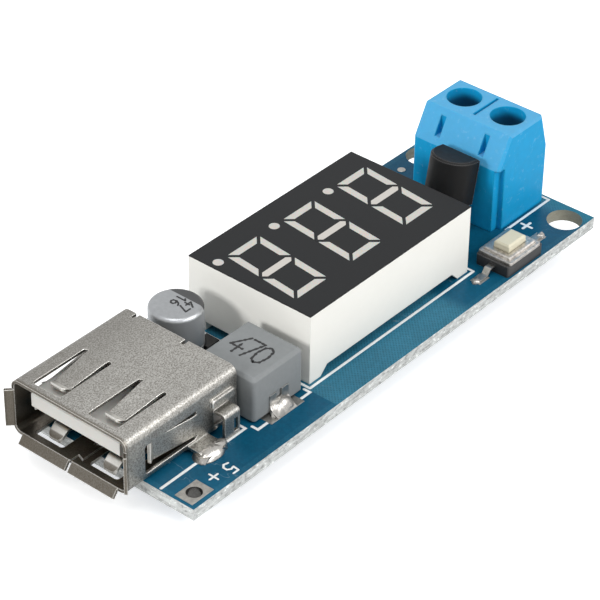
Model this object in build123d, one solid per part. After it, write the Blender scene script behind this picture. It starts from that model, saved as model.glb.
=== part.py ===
from build123d import *
import math
import os

# All sizes are in millimetres. X runs from the socket to the screw terminal, Y from the push
# button's edge to the far edge, and Z up from the top face of the circuit board.

# Circuit board
board_width = 20.8
board_thickness = 1.2
board_end_margin = 0.78
mount_hole = 3.4
mount_hole_pitch = 17.0
mount_hole_inset = 2.2
hole_clearance = 0.2
pad_thickness = 0.05
tail_length = 1.8

# Bare pads with nothing on them
wire_hole = 1.45
wire_pad_length = 2.63
wire_pad_width = 1.95
wire_pad_x = 1.65
wire_pad_y = 1.42
test_pad = 0.8
test_pad_inset_x = 5.6
test_pad_inset_y = 1.9

# Socket shell, one folded sheet
shell_length = 13.5
shell_width = 13.1
shell_height = 5.6
shell_sheet = 0.3
shell_corner = 0.8
shell_overhang = 2.3
shell_slip = 0.05
socket_y = 11.75
hinge_width = 5.3
hinge_shift = 1.9
hinge_relief = 0.4
hinge_relief_depth = 0.7
tail_opening_length = 1.9
tail_opening_side = 1.3

# Spring tongues of the shell
spring_pitch = 6.3
spring_window_length = 6.3
spring_window_width = 3.2
spring_window_front = 0.7
spring_window_corner = 0.3
spring_slot = 0.42
spring_straight = 0.5
spring_bend = 0.45
spring_tip_corner = 0.5
upper_gap = 1.1
upper_dip = 0.55
upper_curl = 0.8
upper_return = 0.45
upper_tip_width = 1.75
lower_gap = 0.55
lower_dip = 0.7
lower_curl = 1.1
lower_return = 0.85
lower_tip_width = 1.5
side_window_length = 6.3
side_window_height = 2.9
side_window_front = 2.2
side_window_z = 2.4
side_slot = 0.4
side_gap = 0.9
side_dip = 0.55
side_curl = 0.55
side_return = 0.3

# Flared mouth and dovetailed seam of the shell
lip_reach = 0.55
lip_drop = 0.7
lip_bend = 0.3
lip_gap = 0.35
lip_half_width = 5.45
side_lip_flare = 0.55
side_lip_height = 3.75
side_lip_z = 2.62
seam_offset = 0.1
seam_gap = 0.12
dovetail_front = 0.95
dovetail_length = 1.95
dovetail_depth = 0.7
dovetail_flare = 0.25

# Legs and ears of the shell
leg_width = 2.4
leg_x = 6.3
leg_step = 1.5
leg_top = 0.93
leg_shoulder = 0.55
leg_bend = 0.25
ear_width = 1.85
ear_x = 9.2
ear_step = 1.3
ear_top = 2.95
ear_shoulder = 2.5
ear_opening_foot = 0.95
ear_slot_x = 9.66
ear_slot_width = 0.5
ear_slot_low = 0.4
ear_slot_high = 1.8
louver_length = 2.9
louver_height = 0.95
louver_rise = 0.3
louver_corner = 0.31
louver_z = 3.42
louver_slit_length = 0.9
louver_slit_height = 0.3
dimple = 0.58
dimple_x = 8.6
dimple_z = 0.64

# White insulator and contacts of the socket
tongue_width = 10.15
tongue_low = 2.65
tongue_high = 4.5
tongue_setback = 0.8
tongue_chamfer = 0.3
rear_block_length = 2.35
insulator_slip = 0.05
contact_inner_pitch = 2.0
contact_outer_pitch = 7.0
contact_width = 1.0
contact_sheet = 0.2
contact_groove = 0.3
contact_setback = 0.8
contact_bulge = 0.3
contact_bulge_length = 1.0
contact_bend = 0.25
contact_tail_width = 0.6
contact_tail_gap = 1.2

# Radial capacitor on its foot
capacitor_y = 15.3
can_diameter = 4.95
can_top = 5.4
can_rim = 0.4
can_groove = 0.12
can_groove_z = 1.5
foot_size = 5.3
foot_height = 0.9
foot_corner = 1.1
foot_claw = 0.35
foot_claw_width = 1.5
foot_slip = 0.03
cap_lead_span = 6.0
cap_lead_width = 0.65
cap_lead_sheet = 0.15
cap_lead_split = 1.4
cap_pad_width = 1.3
cap_pad_reach = 0.35

# Power inductor
inductor_gap = 0.33
inductor_length = 6.33
inductor_width = 6.2
inductor_height = 4.7
inductor_low_y = 3.55
inductor_corner = 0.35
inductor_chamfer = 0.3
coil_lead_width = 2.45
coil_lead_sheet = 0.2
coil_lead_rise = 1.7
coil_lead_foot = 1.5
coil_lead_bend = 0.2
coil_lead_recess = 0.12
coil_lead_notch = 0.7
coil_pad_length = 4.3
coil_pad_reach = 1.1

# Three-digit display
display_gap = 1.07
display_length = 22.5
display_width = 14.0
display_height = 7.2
display_low_y = 3.66
case_wall = 0.9
foot_clear = 0.9
foot_inset = 1.47
foot_slant = 0.9
end_foot_inset = 1.95
carrier_thickness = 1.0
carrier_slip = 0.05
digit_pitch = 7.5
digit_height = 8.8
digit_width = 4.3
digit_stroke = 0.98
digit_slant = 6.0
segment_gap = 0.34
point_diameter = 1.0
point_shift = 3.3
point_drop = 4.3
led_size = 0.5
led_height = 0.25
pin_size = 0.45
pin_pitch = 2.54
pin_row_pitch = 10.16
near_pin_count = 6
far_pin_count = 5
pin_tail = 1.4

# Screw terminal
regulator_room = 6.59
terminal_pitch = 5.08
terminal_y = 10.45
terminal_width = 10.02
terminal_length = 7.7
terminal_shoulder = 6.76
terminal_height = 9.95
terminal_slope = 1.71
terminal_back_slope = 1.02
terminal_back_shoulder = 6.44
terminal_edge = 0.25
screw_x = 4.43
screw_well = 3.4
chamber_size = 4.1
chamber_top = 7.35
wire_entry_width = 3.6
wire_entry_low = 0.9
wire_entry_high = 4.9
wire_entry_corner = 0.9
divider_slot = 0.3
divider_slot_depth = 1.0
divider_slot_length = 3.8
slope_notch_width = 0.6
slope_notch_low = 7.4
slope_notch_high = 9.3
slope_notch_floor = 1.4
rail_groove_length = 0.95
rail_groove_depth = 0.5

# Bars, cages and screws of the terminal
bar_sheet = 0.6
bar_width = 2.2
bar_low = 3.0
bar_reach = 3.7
bar_leg_x = 2.0
bar_leg_width = 1.1
bar_bend = 0.35
bar_slip = 0.03
cage_length = 3.8
cage_width = 3.9
cage_low = 0.5
cage_floor = 0.5
cage_roof = 0.7
cage_side = 0.5
cage_window_clearance = 0.1
cage_corner = 0.25
screw_shaft = 2.5
screw_thread_clearance = 0.05
screw_tip_clearance = 0.05
screw_head = 3.9
screw_head_low = 6.2
screw_head_height = 1.1
screw_head_chamfer = 0.2
screw_slot_width = 0.7
screw_slot_depth = 0.6

# Push button switch
switch_x = 2.37
switch_y = 2.05
switch_length = 5.3
switch_width = 3.7
switch_base_height = 1.15
switch_corner = 0.2
cover_sheet = 0.3
cover_setback = 0.3
cover_platform_rise = 0.25
cover_platform_length = 4.0
cover_platform_width = 3.0
cover_platform_edge = 0.1
cover_hook_width = 1.6
cover_hook_depth = 0.35
cover_hook_sheet = 0.2
cover_hook_slip = 0.02
button_length = 2.6
button_width = 1.7
button_top = 2.4
button_clearance = 0.06
button_chamfer = 0.16
flange_side = 0.2
flange_thickness = 0.25
flange_low = 0.88
button_travel = 0.25
travel_clearance = 0.05
nub_diameter = 0.9
dome_diameter = 2.3
dome_rise = 0.3
dome_sheet = 0.06
dome_floor = 0.2
dome_clearance = 0.03
dome_well = 2.5
switch_lead_width = 0.7
switch_lead_sheet = 0.15
switch_lead_z = 0.65
switch_lead_shoulder = 0.6
switch_lead_slope = 0.4
switch_lead_reach = 2.3
switch_lead_bend = 0.12
switch_pad_margin = 0.2

# Three-lead regulator
regulator_setback = 3.22
regulator_y = 9.55
regulator_half_width = 2.2
regulator_flat = 1.3
regulator_depth = 3.3
regulator_height = 4.6
regulator_standoff = 3.46
regulator_lean = 11.5
regulator_edge = 0.18
regulator_lead_pitch = 1.27
regulator_lead = 0.42

# Chips under the board
chip_body_width = 3.9
chip_body_height = 1.4
chip_lift = 0.1
chip_chamfer = 0.25
chip_lead_pitch = 1.27
chip_lead_width = 0.42
chip_lead_sheet = 0.2
chip_lead_span = 6.0
chip_lead_foot = 0.6
chip_lead_shoulder = 0.3
chip_lead_z = 0.75
chip_mark = 0.7
chip_mark_depth = 0.08
chip_mark_inset_x = 1.4
chip_mark_inset_y = 1.05
converter_length = 4.9
converter_lead_count = 4
driver_length = 9.9
driver_lead_count = 8
converter_y = 7.0

# Diode, ceramic capacitors and resistors under the board
diode_length = 2.7
diode_width = 1.6
diode_height = 1.0
diode_lead_width = 0.6
diode_lead_sheet = 0.15
diode_span = 3.7
diode_y = 13.0
chip_cap_length = 2.0
chip_cap_width = 1.25
chip_cap_height = 0.85
chip_cap_end = 0.4
chip_cap_near_y = 4.6
chip_cap_far_y = 13.6
chip_cap_pitch = 3.0
divider_y = 16.4
divider_pitch = 2.2
chip_res_length = 1.6
chip_res_width = 0.8
chip_res_height = 0.45
chip_res_end = 0.3
chip_pad_margin = 0.15
series_resistors = 7
series_pitch = 2.0
series_gap = 2.46

# Solder
solder_margin = 0.45
close_solder_margin = 0.18
solder_height = 0.9
solder_collar = 0.12
leg_solder_length = 3.5
leg_solder_width = 2.1
leg_solder_height = 0.45
leg_solder_taper = 30
toe_height = 0.8
toe_hollow = 0.4
chip_toe_reach = 0.3

# Places along the board
shell_front = -shell_overhang
shell_rear = shell_front + shell_length
inductor_low_x = shell_rear + inductor_gap
inductor_x = inductor_low_x + inductor_length / 2
display_low_x = inductor_low_x + inductor_length + display_gap
display_x = display_low_x + display_length / 2
display_y = display_low_y + display_width / 2
terminal_low_x = display_low_x + display_length + regulator_room
board_length = terminal_low_x + terminal_length + board_end_margin
pole_ys = [terminal_y - terminal_pitch / 2, terminal_y + terminal_pitch / 2]
pole_x = terminal_low_x + screw_x
switch_centre_x = terminal_low_x - switch_x
regulator_x = terminal_low_x - regulator_setback
contact_tail_x = shell_rear - contact_tail_gap
tip_z = -board_thickness - tail_length
contact_ys = [
    socket_y - contact_outer_pitch / 2,
    socket_y - contact_inner_pitch / 2,
    socket_y + contact_inner_pitch / 2,
    socket_y + contact_outer_pitch / 2,
]

# Places of the parts under the board
clear_of_display_x = display_low_x + foot_inset
chip_cap_places = [
    (clear_of_display_x, y + step * chip_cap_pitch)
    for y in (chip_cap_near_y, chip_cap_far_y)
    for step in range(2)
]
divider_places = [(inductor_x, divider_y + step * divider_pitch) for step in range(2)]
series_places = [
    (display_x + (index - (series_resistors - 1) / 2) * series_pitch,
     display_y + pin_row_pitch / 2 + series_gap)
    for index in range(series_resistors)
]


def block(x_low, x_high, y_low, y_high, z_low, z_high):
    """Box given by its six faces."""
    centre = ((x_low + x_high) / 2, (y_low + y_high) / 2, (z_low + z_high) / 2)
    return Pos(*centre) * Box(x_high - x_low, y_high - y_low, z_high - z_low)


def centred_block(x, y, length, width, z_low, z_high):
    """Box centred over a point of the board."""
    return Pos(x, y, (z_low + z_high) / 2) * Box(length, width, z_high - z_low)


def post(x, y, diameter, z_low, z_high):
    """Upright cylinder."""
    return Pos(x, y, (z_low + z_high) / 2) * Cylinder(diameter / 2, z_high - z_low)


def across(outline, y_low, y_high):
    """Solid with an X-Z outline, stretched along Y."""
    face = Plane((0, y_low, 0), x_dir=(1, 0, 0), z_dir=(0, -1, 0)) * outline
    return extrude(face, amount=y_high - y_low, dir=(0, 1, 0))


def along(outline, x_low, x_high):
    """Solid with a Y-Z outline, stretched along X."""
    face = Plane((x_low, 0, 0), x_dir=(0, 1, 0), z_dir=(1, 0, 0)) * outline
    return extrude(face, amount=x_high - x_low, dir=(1, 0, 0))


def upward(outline, z_low, z_high):
    """Solid with an X-Y outline, stretched along Z."""
    return extrude(Pos(0, 0, z_low) * outline, amount=z_high - z_low, dir=(0, 0, 1))


def polygon(points):
    """Flat face with straight edges."""
    return make_face(Polyline(*points, close=True))


def strip(points, sheet, bend):
    """Edge view of a sheet that is bent along its middle line."""
    return trace(FilletPolyline(*points, radius=bend), line_width=sheet)


def gather(shapes):
    """Several separate solids of one sub-part."""
    return Compound([solid for shape in shapes for solid in shape.solids()])


def far_side(shape):
    """The same shape on the socket's other side wall."""
    return mirror(shape, about=Plane((0, socket_y, 0), x_dir=(1, 0, 0), z_dir=(0, 1, 0)))


def under(shape, x, y):
    """Turn a part that stands on its pads over, and set it on the board's lower face."""
    return Pos(x, y, -board_thickness - pad_thickness) * Rot(180, 0, 0) * shape


def through_leads():
    """Lead ends that pass the board: centre, section, length below it, and solder margin."""
    leads = []
    for y in contact_ys:
        leads.append((contact_tail_x, y, contact_sheet, contact_tail_width, tail_length,
                      solder_margin))
    for x, y in pin_places():
        leads.append((x, y, pin_size, pin_size, pin_tail, solder_margin))
    for y in pole_ys:
        leads.append((terminal_low_x + bar_leg_x, y, bar_sheet, bar_leg_width, tail_length,
                      solder_margin))
    for index in (-1, 0, 1):
        y = regulator_y + index * regulator_lead_pitch
        leads.append((regulator_x, y, regulator_lead, regulator_lead, tail_length,
                      close_solder_margin))
    return leads


def leg_places():
    """Centres of the two shell legs that pass through slots in the board."""
    offset = shell_width / 2 + leg_step - shell_sheet / 2
    return [(leg_x, socket_y - offset), (leg_x, socket_y + offset)]


def lead_hole(size_x, size_y):
    """Diameter of the hole that a lead of this section passes."""
    return math.hypot(size_x, size_y) + hole_clearance


def circuit_board():
    """Board with its mounting holes, wire hole, lead holes and leg slots."""
    board = block(0, board_length, 0, board_width, -board_thickness, 0)
    holes = [post(x, y, mount_hole, -board_thickness, 0) for x, y in mount_places()]
    holes.append(post(wire_pad_x, wire_pad_y, wire_hole, -board_thickness, 0))
    for x, y, size_x, size_y, _, _ in through_leads():
        holes.append(post(x, y, lead_hole(size_x, size_y), -board_thickness, 0))
    slot = SlotOverall(leg_width + 2 * hole_clearance, shell_sheet + 2 * hole_clearance)
    for x, y in leg_places():
        holes.append(upward(Pos(x, y) * slot, -board_thickness, 0))
    return board - holes


def mount_places():
    """Centres of the two mounting holes, at the terminal's end of the board."""
    x = board_length - mount_hole_inset
    middle = board_width / 2
    return [(x, middle - mount_hole_pitch / 2), (x, middle + mount_hole_pitch / 2)]


def tinned_pads():
    """Tinned copper of the board, above and below."""
    top = []
    wire_pad = centred_block(wire_pad_x, wire_pad_y, wire_pad_length, wire_pad_width,
                             0, pad_thickness)
    top.append(wire_pad - post(wire_pad_x, wire_pad_y, wire_hole, 0, pad_thickness))
    test_x = board_length - test_pad_inset_x
    top.append(post(test_x, board_width - test_pad_inset_y, test_pad, 0, pad_thickness))
    for side in (-1, 1):
        top.append(cap_pad(side))
        top.append(coil_pad(side))
        top.append(switch_pad(side))
    return gather(top + under_pads())


def cap_pad(side):
    """Pad at one end of the radial capacitor."""
    inner = inductor_x + side * cap_lead_split / 2
    outer = inductor_x + side * (cap_lead_span / 2 + cap_pad_reach)
    half = cap_pad_width / 2
    return block(min(inner, outer), max(inner, outer), capacitor_y - half,
                 capacitor_y + half, 0, pad_thickness)


def coil_pad(side):
    """Pad at one end of the inductor."""
    edge = inductor_low_y if side < 0 else inductor_low_y + inductor_width
    inner = edge - side * coil_lead_foot
    outer = edge + side * coil_pad_reach
    half = coil_pad_length / 2
    return block(inductor_x - half, inductor_x + half, min(inner, outer), max(inner, outer),
                 0, pad_thickness)


def switch_pad(side):
    """Pad at one end of the switch."""
    heel = switch_length / 2 + switch_lead_shoulder + switch_lead_slope
    toe = switch_length / 2 + switch_lead_reach + switch_pad_margin
    centre = switch_centre_x + side * (heel + toe) / 2
    width = switch_lead_width + 2 * switch_pad_margin
    return centred_block(centre, switch_y, toe - heel, width, 0, pad_thickness)


def under_pads():
    """Pads of the parts on the lower face."""
    low = -board_thickness - pad_thickness
    pads = []
    for x, y, lead_count in chip_places():
        toe = chip_lead_span / 2 + chip_toe_reach
        heel = chip_lead_span / 2 - chip_lead_foot
        for lead_x in chip_lead_xs(lead_count):
            for side in (-1, 1):
                centre = y + side * (toe + heel) / 2
                pads.append(centred_block(x + lead_x, centre, chip_lead_width, toe - heel,
                                          low, -board_thickness))
    for places, length, width, end in small_part_rows():
        for x, y in places:
            for side in (-1, 1):
                centre = y + side * (length - end + chip_pad_margin) / 2
                pads.append(centred_block(x, centre, width, end + chip_pad_margin,
                                          low, -board_thickness))
    for side in (-1, 1):
        reach = diode_span / 2 + chip_pad_margin
        centre = inductor_x + side * (diode_length / 2 + reach) / 2
        pads.append(centred_block(centre, diode_y, reach - diode_length / 2,
                                  diode_lead_width + 2 * chip_pad_margin,
                                  low, -board_thickness))
    return pads


def small_part_rows():
    """Places and sizes of the two-ended parts on the lower face, which lie along Y."""
    return [
        (chip_cap_places, chip_cap_length, chip_cap_width, chip_cap_end),
        (divider_places + series_places, chip_res_length, chip_res_width, chip_res_end),
    ]


def shell_section(inset):
    """Cross-section of the socket's tube, drawn in from its outside."""
    width = shell_width - 2 * inset
    height = shell_height - 2 * inset
    corner = shell_corner - inset
    return Pos(socket_y, shell_height / 2) * RectangleRounded(width, height, corner)


def shell_tube():
    """Rounded tube with its back folded down from the top between two relief notches."""
    tube = along(shell_section(0), shell_front, shell_rear)
    tube -= along(shell_section(shell_sheet), shell_front, shell_rear)
    back_front = shell_rear - shell_sheet
    back = along(shell_section(shell_sheet + shell_slip), back_front, shell_rear)
    hinge_y = socket_y + hinge_shift
    inside_top = shell_height - shell_sheet
    hinge = centred_block((back_front + shell_rear) / 2, hinge_y, shell_sheet, hinge_width,
                          inside_top - 2 * shell_slip, inside_top)
    tube += back + hinge
    for side in (-1, 1):
        y = hinge_y + side * (hinge_width + hinge_relief) / 2
        tube -= block(shell_rear - hinge_relief_depth, shell_rear, y - hinge_relief / 2,
                      y + hinge_relief / 2, inside_top - shell_sheet, shell_height)
    return tube


def spring_view(root, tip, wall, dip, curl, back):
    """Edge view of a spring tongue that dips in by a signed depth and curls back at its tip."""
    points = [
        (root + shell_sheet, wall),
        (root - spring_straight, wall),
        (tip + curl, wall + dip),
        (tip, wall + dip - back),
    ]
    return strip(points, shell_sheet, spring_bend)


def tongue_plan(root, tip, y, tip_width):
    """Plan of a broad tongue that narrows to a rounded tip."""
    root_half = spring_window_width / 2 - spring_slot
    tip_half = tip_width / 2
    plan = polygon([
        (root + shell_sheet, y - root_half),
        (root + shell_sheet, y + root_half),
        (tip, y + tip_half),
        (tip, y - tip_half),
    ])
    return fillet(plan.vertices().sort_by(Axis.X)[:2], spring_tip_corner)


def broad_springs(tube):
    """Pairs of spring tongues in the top and the bottom, in windows that pass both."""
    front = shell_front + spring_window_front
    root = front + spring_window_length
    window = RectangleRounded(spring_window_length, spring_window_width, spring_window_corner)
    top_wall = shell_height - shell_sheet / 2
    upper = spring_view(root, front + upper_gap, top_wall, -upper_dip, upper_curl,
                        -upper_return)
    lower = spring_view(root, front + lower_gap, shell_sheet / 2, lower_dip, lower_curl,
                        lower_return)
    for side in (-1, 1):
        y = socket_y + side * spring_pitch / 2
        low_y = y - spring_window_width / 2
        high_y = y + spring_window_width / 2
        tube -= upward(Pos((front + root) / 2, y) * window, -shell_sheet,
                       shell_height + shell_sheet)
        upper_plan = tongue_plan(root, front + upper_gap, y, upper_tip_width)
        lower_plan = tongue_plan(root, front + lower_gap, y, lower_tip_width)
        tube += across(upper, low_y, high_y) & upward(upper_plan, 0, 2 * shell_height)
        tube += across(lower, low_y, high_y) & upward(lower_plan, -shell_height, shell_height)
    return tube


def side_springs(tube):
    """One spring tongue in each side wall."""
    front = shell_front + side_window_front
    root = front + side_window_length
    tip = front + side_gap
    window = RectangleRounded(side_window_length, side_window_height, spring_window_corner)
    tube -= across(Pos((front + root) / 2, side_window_z) * window, socket_y - shell_width,
                   socket_y + shell_width)
    half = side_window_height / 2 - side_slot
    wall = socket_y - shell_width / 2 + shell_sheet / 2
    view = spring_view(root, tip, wall, side_dip, side_curl, side_return)
    tongue = upward(view, side_window_z - half, side_window_z + half)
    return tube + tongue + far_side(tongue)


def mouth_lips():
    """Flared lips round the mouth: two below, beside the seam, and one at each side."""
    middle = shell_sheet / 2
    lower_view = strip([
        (shell_front + shell_sheet, middle),
        (shell_front, middle),
        (shell_front - lip_reach, middle - lip_drop),
    ], shell_sheet, lip_bend)
    seam_y = socket_y - seam_offset
    near = across(lower_view, socket_y - lip_half_width, seam_y - lip_gap / 2)
    far = across(lower_view, seam_y + lip_gap / 2, socket_y + lip_half_width)
    wall = socket_y - shell_width / 2 + middle
    side_view = strip([
        (shell_front + shell_sheet, wall),
        (shell_front, wall),
        (shell_front - lip_reach, wall - side_lip_flare),
    ], shell_sheet, lip_bend)
    side = upward(side_view, side_lip_z - side_lip_height / 2, side_lip_z + side_lip_height / 2)
    return [near, far, side, far_side(side)]


def seam_cut():
    """Slit of the bottom seam, with one dovetail that locks its two edges."""
    y = socket_y - seam_offset
    low = shell_front + dovetail_front
    high = low + dovetail_length
    path = Polyline(
        (shell_front - shell_sheet, y),
        (low, y),
        (low - dovetail_flare, y - dovetail_depth),
        (high + dovetail_flare, y - dovetail_depth),
        (high, y),
        (shell_rear - tail_opening_length, y),
    )
    return upward(trace(path, line_width=seam_gap), -shell_sheet, 2 * shell_sheet)


def shell_leg():
    """Leg of the near side: a shelf out of the wall, then down through the board."""
    wall = socket_y - shell_width / 2 + shell_sheet / 2
    leg_y = wall - leg_step
    return along(strip([
        (wall, leg_top),
        (wall, leg_shoulder),
        (leg_y, leg_shoulder),
        (leg_y, tip_z),
    ], shell_sheet, leg_bend), leg_x - leg_width / 2, leg_x + leg_width / 2)


def side_fittings():
    """Leg, ear, louver and dimple of one side wall, and the openings that they leave."""
    outside = socket_y - shell_width / 2
    wall = outside + shell_sheet / 2
    ear_y = wall - ear_step
    ear = along(strip([
        (wall, ear_top),
        (wall, ear_shoulder),
        (ear_y, ear_shoulder),
        (ear_y, 0),
    ], shell_sheet, leg_bend), ear_x - ear_width / 2, ear_x + ear_width / 2)
    louver_x = shell_rear - shell_corner / 2 - louver_length / 2
    louver_view = Pos(louver_x, louver_z) * RectangleRounded(
        louver_length, louver_height, louver_corner)
    louver = across(louver_view, outside - louver_rise, outside)
    louver = fillet(louver.faces().sort_by(Axis.Y)[0].edges(), louver_rise / 2)
    ear -= centred_block(ear_slot_x, ear_y, ear_slot_width, 2 * shell_sheet,
                         ear_slot_low, ear_slot_high)
    bump = Pos(dimple_x, outside, dimple_z) * Sphere(dimple / 2)
    opening = block(ear_x - ear_width / 2, ear_x + ear_width / 2, outside - shell_sheet / 2,
                    outside + 2 * shell_sheet, ear_opening_foot, ear_shoulder - shell_sheet / 2)
    slit = centred_block(ear_x, outside, louver_slit_length, 4 * shell_sheet,
                         louver_z, louver_z + louver_slit_height)
    return [shell_leg(), ear, louver, bump], [opening, slit]


def usb_shell():
    """The whole folded shell as one solid."""
    shell = side_springs(broad_springs(shell_tube()))
    added, removed = side_fittings()
    for cut in removed:
        shell = shell - cut - far_side(cut)
    for piece in added:
        shell = shell + piece + far_side(piece)
    for lip in mouth_lips():
        shell += lip
    shell -= seam_cut()
    half = shell_width / 2 - tail_opening_side
    shell -= block(shell_rear - tail_opening_length, shell_rear, socket_y - half,
                   socket_y + half, -shell_sheet, shell_sheet)
    return shell


def contact_strip(y):
    """One contact: a bulged strip under the tongue that turns down into the board."""
    middle = tongue_low + contact_groove - contact_sheet / 2
    front = shell_front + tongue_setback + contact_setback
    tail_low = insulator_floor()
    view = strip([
        (front, middle),
        (front + contact_bulge_length, middle - contact_bulge),
        (front + 2 * contact_bulge_length, middle),
        (contact_tail_x, middle),
        (contact_tail_x, tail_low),
    ], contact_sheet, contact_bend)
    blade = across(view, y - contact_width / 2, y + contact_width / 2)
    tail = centred_block(contact_tail_x, y, contact_sheet, contact_tail_width, tip_z, tail_low)
    return blade + tail


def insulator_floor():
    """Height of the lower face of the insulator's rear block."""
    return shell_sheet + insulator_slip


def usb_contacts():
    """Four contacts of the socket."""
    return gather([contact_strip(y) for y in contact_ys])


def usb_insulator(contacts):
    """Moulded tongue and rear block, grooved for the contacts."""
    rear = shell_rear - shell_sheet - insulator_slip
    block_front = rear - rear_block_length
    block_section = shell_section(shell_sheet + insulator_slip)
    moulding = along(block_section, block_front, rear)
    tongue_front = shell_front + tongue_setback
    tongue_view = polygon([
        (tongue_front, tongue_low + tongue_chamfer),
        (tongue_front, tongue_high - tongue_chamfer),
        (tongue_front + tongue_chamfer, tongue_high),
        (block_front, tongue_high),
        (block_front, tongue_low),
        (tongue_front + tongue_chamfer, tongue_low),
    ])
    moulding += across(tongue_view, socket_y - tongue_width / 2, socket_y + tongue_width / 2)
    groove_front = tongue_front + contact_setback
    for y in contact_ys:
        moulding -= block(groove_front, block_front, y - contact_width / 2,
                          y + contact_width / 2, tongue_low - contact_sheet,
                          tongue_low + contact_groove)
    return moulding - contacts


def capacitor_can():
    """Drawn aluminium can with a rolled rim and a bead above the foot."""
    radius = can_diameter / 2
    base = pad_thickness + foot_height
    flat = radius - can_rim
    bead = can_groove
    outline = Polyline(
        (0, base),
        (radius, base),
        (radius, can_groove_z - bead),
        (radius - bead, can_groove_z),
        (radius, can_groove_z + bead),
        (radius, can_top - can_rim),
    )
    arc = RadiusArc((radius, can_top - can_rim), (flat, can_top), -can_rim)
    lid = Polyline((flat, can_top), (0, can_top), (0, base))
    profile = make_face([*outline.edges(), *arc.edges(), *lid.edges()])
    can = revolve(Plane.XZ * profile, axis=Axis.Z)
    return Pos(inductor_x, capacitor_y, 0) * can


def capacitor_base():
    """Square foot with two cut corners, four claws round the can and a channel for the leads."""
    half = foot_size / 2
    outline = polygon([
        (-half + foot_corner, -half),
        (half, -half),
        (half, half),
        (-half + foot_corner, half),
        (-half, half - foot_corner),
        (-half, -half + foot_corner),
    ])
    base_top = pad_thickness + foot_height
    foot = upward(outline, 0, base_top)
    claws = upward(outline, base_top, base_top + foot_claw)
    claws -= post(0, 0, can_diameter + 2 * foot_slip, base_top, base_top + foot_claw)
    gap = foot_size - 2 * foot_claw_width
    claws -= centred_block(0, 0, gap, foot_size, base_top, base_top + foot_claw)
    claws -= centred_block(0, 0, foot_size, gap, base_top, base_top + foot_claw)
    foot += claws
    lead_top = pad_thickness + cap_lead_sheet
    foot -= centred_block(0, 0, foot_size, cap_pad_width, 0, lead_top)
    return Pos(inductor_x, capacitor_y, 0) * foot


def capacitor_leads():
    """Two flat leads in the foot's channel."""
    leads = []
    low = pad_thickness
    for side in (-1, 1):
        centre = inductor_x + side * (cap_lead_split + cap_lead_span) / 4
        length = (cap_lead_span - cap_lead_split) / 2
        leads.append(centred_block(centre, capacitor_y, length, cap_lead_width,
                                   low, low + cap_lead_sheet))
    return gather(leads)


def inductor_body():
    """Moulded block with softened corners and a recess for each lead."""
    low = pad_thickness + coil_lead_sheet
    y = inductor_low_y + inductor_width / 2
    plan = RectangleRounded(inductor_length, inductor_width, inductor_corner)
    body = upward(Pos(inductor_x, y) * plan, low, inductor_height)
    body = chamfer(body.faces().sort_by(Axis.Z)[-1].edges(), inductor_chamfer)
    half = coil_lead_width / 2
    relief = coil_lead_bend - coil_lead_sheet / 2
    for side in (-1, 1):
        face = y + side * inductor_width / 2
        inner = face - side * coil_lead_recess
        body -= block(inductor_x - half, inductor_x + half, min(face, inner),
                      max(face, inner), low, low + coil_lead_rise)
        inside_bend = inner - side * relief
        body -= block(inductor_x - half, inductor_x + half, min(inner, inside_bend),
                      max(inner, inside_bend), low, low + relief)
    return body


def inductor_terminals():
    """Two leads that run down the sides and fold under, each with a notch in its top."""
    low = pad_thickness + coil_lead_sheet / 2
    top = pad_thickness + coil_lead_sheet + coil_lead_rise
    half = coil_lead_width / 2
    leads = []
    for side in (-1, 1):
        edge = inductor_low_y if side < 0 else inductor_low_y + inductor_width
        face = edge + side * (coil_lead_sheet / 2 - coil_lead_recess)
        view = strip([(face, top), (face, low), (edge - side * coil_lead_foot, low)],
                     coil_lead_sheet, coil_lead_bend)
        lead = along(view, inductor_x - half, inductor_x + half)
        lead -= centred_block(inductor_x, face, coil_lead_notch, 2 * coil_lead_sheet,
                              top - coil_lead_notch, top)
        leads.append(lead)
    return gather(leads)


def slanted(points):
    """Lean the points of a digit to the right as they rise."""
    lean = math.tan(math.radians(digit_slant))
    return [(x + y * lean, y) for x, y in points]


def segment_outlines():
    """Seven mitred segments of one digit, upright about its middle, before the lean."""
    half = digit_width / 2
    top = digit_height / 2
    stroke = digit_stroke
    gap = segment_gap * math.sqrt(0.5)
    bar = [(-half + gap, top), (half - gap, top), (half - stroke - gap, top - stroke),
           (-half + stroke + gap, top - stroke)]
    middle = [(-half + stroke / 2 + gap, 0), (-half + stroke + gap, stroke / 2),
              (half - stroke - gap, stroke / 2), (half - stroke / 2 - gap, 0),
              (half - stroke - gap, -stroke / 2), (-half + stroke + gap, -stroke / 2)]
    post_outline = [(half, top - gap), (half, gap), (half - stroke / 2, gap),
                    (half - stroke, stroke / 2 + gap), (half - stroke, top - stroke - gap)]
    flipped = [(-x, y) for x, y in post_outline]
    lower = [[(x, -y) for x, y in outline] for outline in (bar, post_outline, flipped)]
    return [bar, middle, post_outline, flipped] + lower


def window_outlines():
    """Every window in the display's face: the segments and points of three digits."""
    windows = []
    for index in (-1, 0, 1):
        turned = Pos(display_x + index * digit_pitch, display_y) * Rot(0, 0, 180)
        for outline in segment_outlines():
            windows.append(turned * polygon(slanted(outline)))
        lean = point_drop * math.tan(math.radians(digit_slant))
        windows.append(turned * Pos(point_shift - lean, -point_drop)
                       * Circle(point_diameter / 2))
    return windows


def carrier_top():
    """Height of the upper face of the display's own board."""
    return foot_clear + carrier_thickness


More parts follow.
